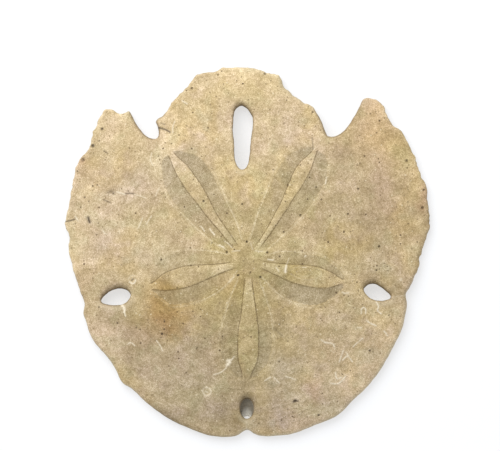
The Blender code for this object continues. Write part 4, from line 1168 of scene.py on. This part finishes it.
# The lower face: coarser tubercles, and darker food grooves
lowerLooks = {
    "ground": (0.47, 0.37, 0.235), "light": (0.62, 0.52, 0.36), "dark": (0.3, 0.22, 0.13),
    "groove": (0.25, 0.185, 0.11), "sootAndPitShade": (0.07, 0.05, 0.035), "cream": (0.74, 0.65, 0.48),
    "broad": (0, 8, 2.6), "small": (19, 1.3, 3), "smallLight": 0.35, "smallHeight": 0.1,
    "knobs": {"Spacing": 0.85, "Height": 0.14}, "hollowStrength": 0.5, "grooveStrength": 0.7,
    "specks": (71, 2.1, 0.25, 0.35), "speckStrength": 0.6, "edge": (0.12, 0.5), "edgeStrength": 0.3,
    "pitStrength": 0.8, "roughness": (0.82, 0.95), "bump": 0.8,
}


def lowerMaterial():
    look = lowerLooks
    material, tree, shader = newMaterial("fossilLower")
    colour, broad, small = mottledGround(tree, look)
    colour = layOver(tree, colour, ramp(tree, small, 0.5, 1), look["smallLight"], look["light"])
    knobs = useGroup(tree, "tubercles", **look["knobs"])
    grooves = readField(tree, "grooveShade")
    bare = calc(tree, "SUBTRACT", 1, grooves, clamp=True)
    edge = lineAt(tree, calc(tree, "SUBTRACT", grooves, 0.5), *look["edge"])
    # the pit shade is painted shade in the mouth and the vent
    for mask, strength, over in ((times(tree, knobs["Hollow"], bare), "hollowStrength", "dark"),
                                 (grooves, "grooveStrength", "groove"),
                                 (specksOf(tree, *look["specks"]), "speckStrength", "sootAndPitShade"),
                                 (edge, "edgeStrength", "cream"),
                                 (readField(tree, "pitShade"), "pitStrength", "sootAndPitShade")):
        colour = layOver(tree, colour, mask, look[strength], look[over])
    height = scaled(tree, small, look["smallHeight"], times(tree, knobs["Height"], bare))
    dress(tree, shader, colour, height, look["bump"], ramp(tree, broad, 0, 1, *look["roughness"]))
    return material


# Broken, unpolished walls of the openings; the slanting one has painted shade at its top and turns to painted
# light towards its foot
wallLooks = {
    "ground": (0.44, 0.36, 0.25), "light": (0.62, 0.54, 0.41), "dark": (0.24, 0.185, 0.12),
    # shaded is painted shade high on the slanting wall, and foot is painted light towards its foot
    "shaded": (0.2, 0.18, 0.14), "foot": (0.85, 0.84, 0.78),
    "broad": (0, 3, 3), "small": (23, 0.7, 3.2), "smallHeight": 0.15, "specks": (0, 1.2, 0.18, 0.35),
    "speckStrength": 0.6, "slantFrom": (0, 0.05), "slantStrength": 0.8, "paintedLightFrom": (0.35, 1),
    "knobs": {"Spacing": 0.6, "Height": 0.08}, "roughness": 0.9, "bump": 0.8,
}


def wallMaterial():
    look = wallLooks
    material, tree, shader = newMaterial("fossilWall")
    colour, _, small = mottledGround(tree, look)
    colour = layOver(tree, colour, specksOf(tree, *look["specks"]), look["speckStrength"], look["dark"])
    down = readField(tree, "wallDepth")
    # painted shade high on the front opening's slanting wall, turning into painted light towards its foot
    paintedShadeToLight = mixColour(tree, ramp(tree, down, *look["paintedLightFrom"]), look["shaded"], look["foot"])
    colour = layOver(tree, colour, ramp(tree, down, *look["slantFrom"]), look["slantStrength"], paintedShadeToLight)
    knobs = useGroup(tree, "tubercles", **look["knobs"])["Height"]
    height = scaled(tree, small, look["smallHeight"], knobs)
    dress(tree, shader, colour, height, look["bump"], look["roughness"])
    return material


sandDollar = buildTest()
for material in (upperMaterial(), lowerMaterial(), wallMaterial()):
    sandDollar.data.materials.append(material)
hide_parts("sand_dollar")
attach(sandDollar, "root")
print("materials on")

# A plain pale floor, soft studio light, and a camera that looks straight down
studio = {
    "floorHalf": 2.5, "floorDepth": 0.0002, "floorColour": (0.4, 0.41, 0.43, 1), "floorRoughness": 0.9,
    "floorGlow": 0.585, "keyFrom": (-0.29, 0.54, 0.7), "keyAway": 1.2, "keySize": 1.1, "keyPower": 12.2,
    "keyColour": (1, 0.985, 0.96), "skyColour": (0.95, 0.97, 1), "skyStrength": 0.58,
    "cameraAt": (0.783, 8.867), "cameraAway": 1200, "rimPlane": 2, "viewWidth": 166.67,  # mm
    "sensorWidth": 36, "clip": (0.05, 20),
}


def buildStudio():
    half, depth = studio["floorHalf"], -studio["floorDepth"]
    mesh = bpy.data.meshes.new("floor")
    corners = [(-half, -half, depth), (half, -half, depth), (half, half, depth), (-half, half, depth)]
    mesh.from_pydata(corners, [], [(0, 1, 2, 3)])
    material, tree, shader = newMaterial("floorPaper")
    for name, value in (("Base Color", studio["floorColour"]), ("Roughness", studio["floorRoughness"]),
                        ("Emission Color", (1, 1, 1, 1)), ("Emission Strength", studio["floorGlow"])):
        shader.inputs[name].default_value = value
    mesh.materials.append(material)
    addObject("floor", mesh)

    lamp = bpy.data.lights.new("keyLight", "AREA")
    lamp.shape = "DISK"
    lamp.size, lamp.energy, lamp.color = (studio[name] for name in ("keySize", "keyPower", "keyColour"))
    key = addObject("keyLight", lamp)
    direction = Vector(studio["keyFrom"]).normalized()
    key.location = direction * studio["keyAway"]
    key.rotation_euler = direction.to_track_quat("Z", "Y").to_euler()

    world = bpy.data.worlds.new("studioSky")
    world.use_nodes = True
    background = world.node_tree.nodes["Background"]
    background.inputs[0].default_value = (*studio["skyColour"], 1)
    background.inputs[1].default_value = studio["skyStrength"]
    bpy.context.scene.world = world

    lens = bpy.data.cameras.new("camera")
    lens.sensor_width = studio["sensorWidth"]
    lens.lens = lens.sensor_width * studio["cameraAway"] / studio["viewWidth"]
    lens.clip_start, lens.clip_end = studio["clip"]
    camera = addObject("camera", lens)
    camera.location = Vector((*studio["cameraAt"], studio["cameraAway"] + studio["rimPlane"])) * mm
    bpy.context.scene.camera = camera
    bpy.context.scene.view_settings.view_transform = "Standard"


buildStudio()
print("studio ready")

bpy.context.view_layer.update()
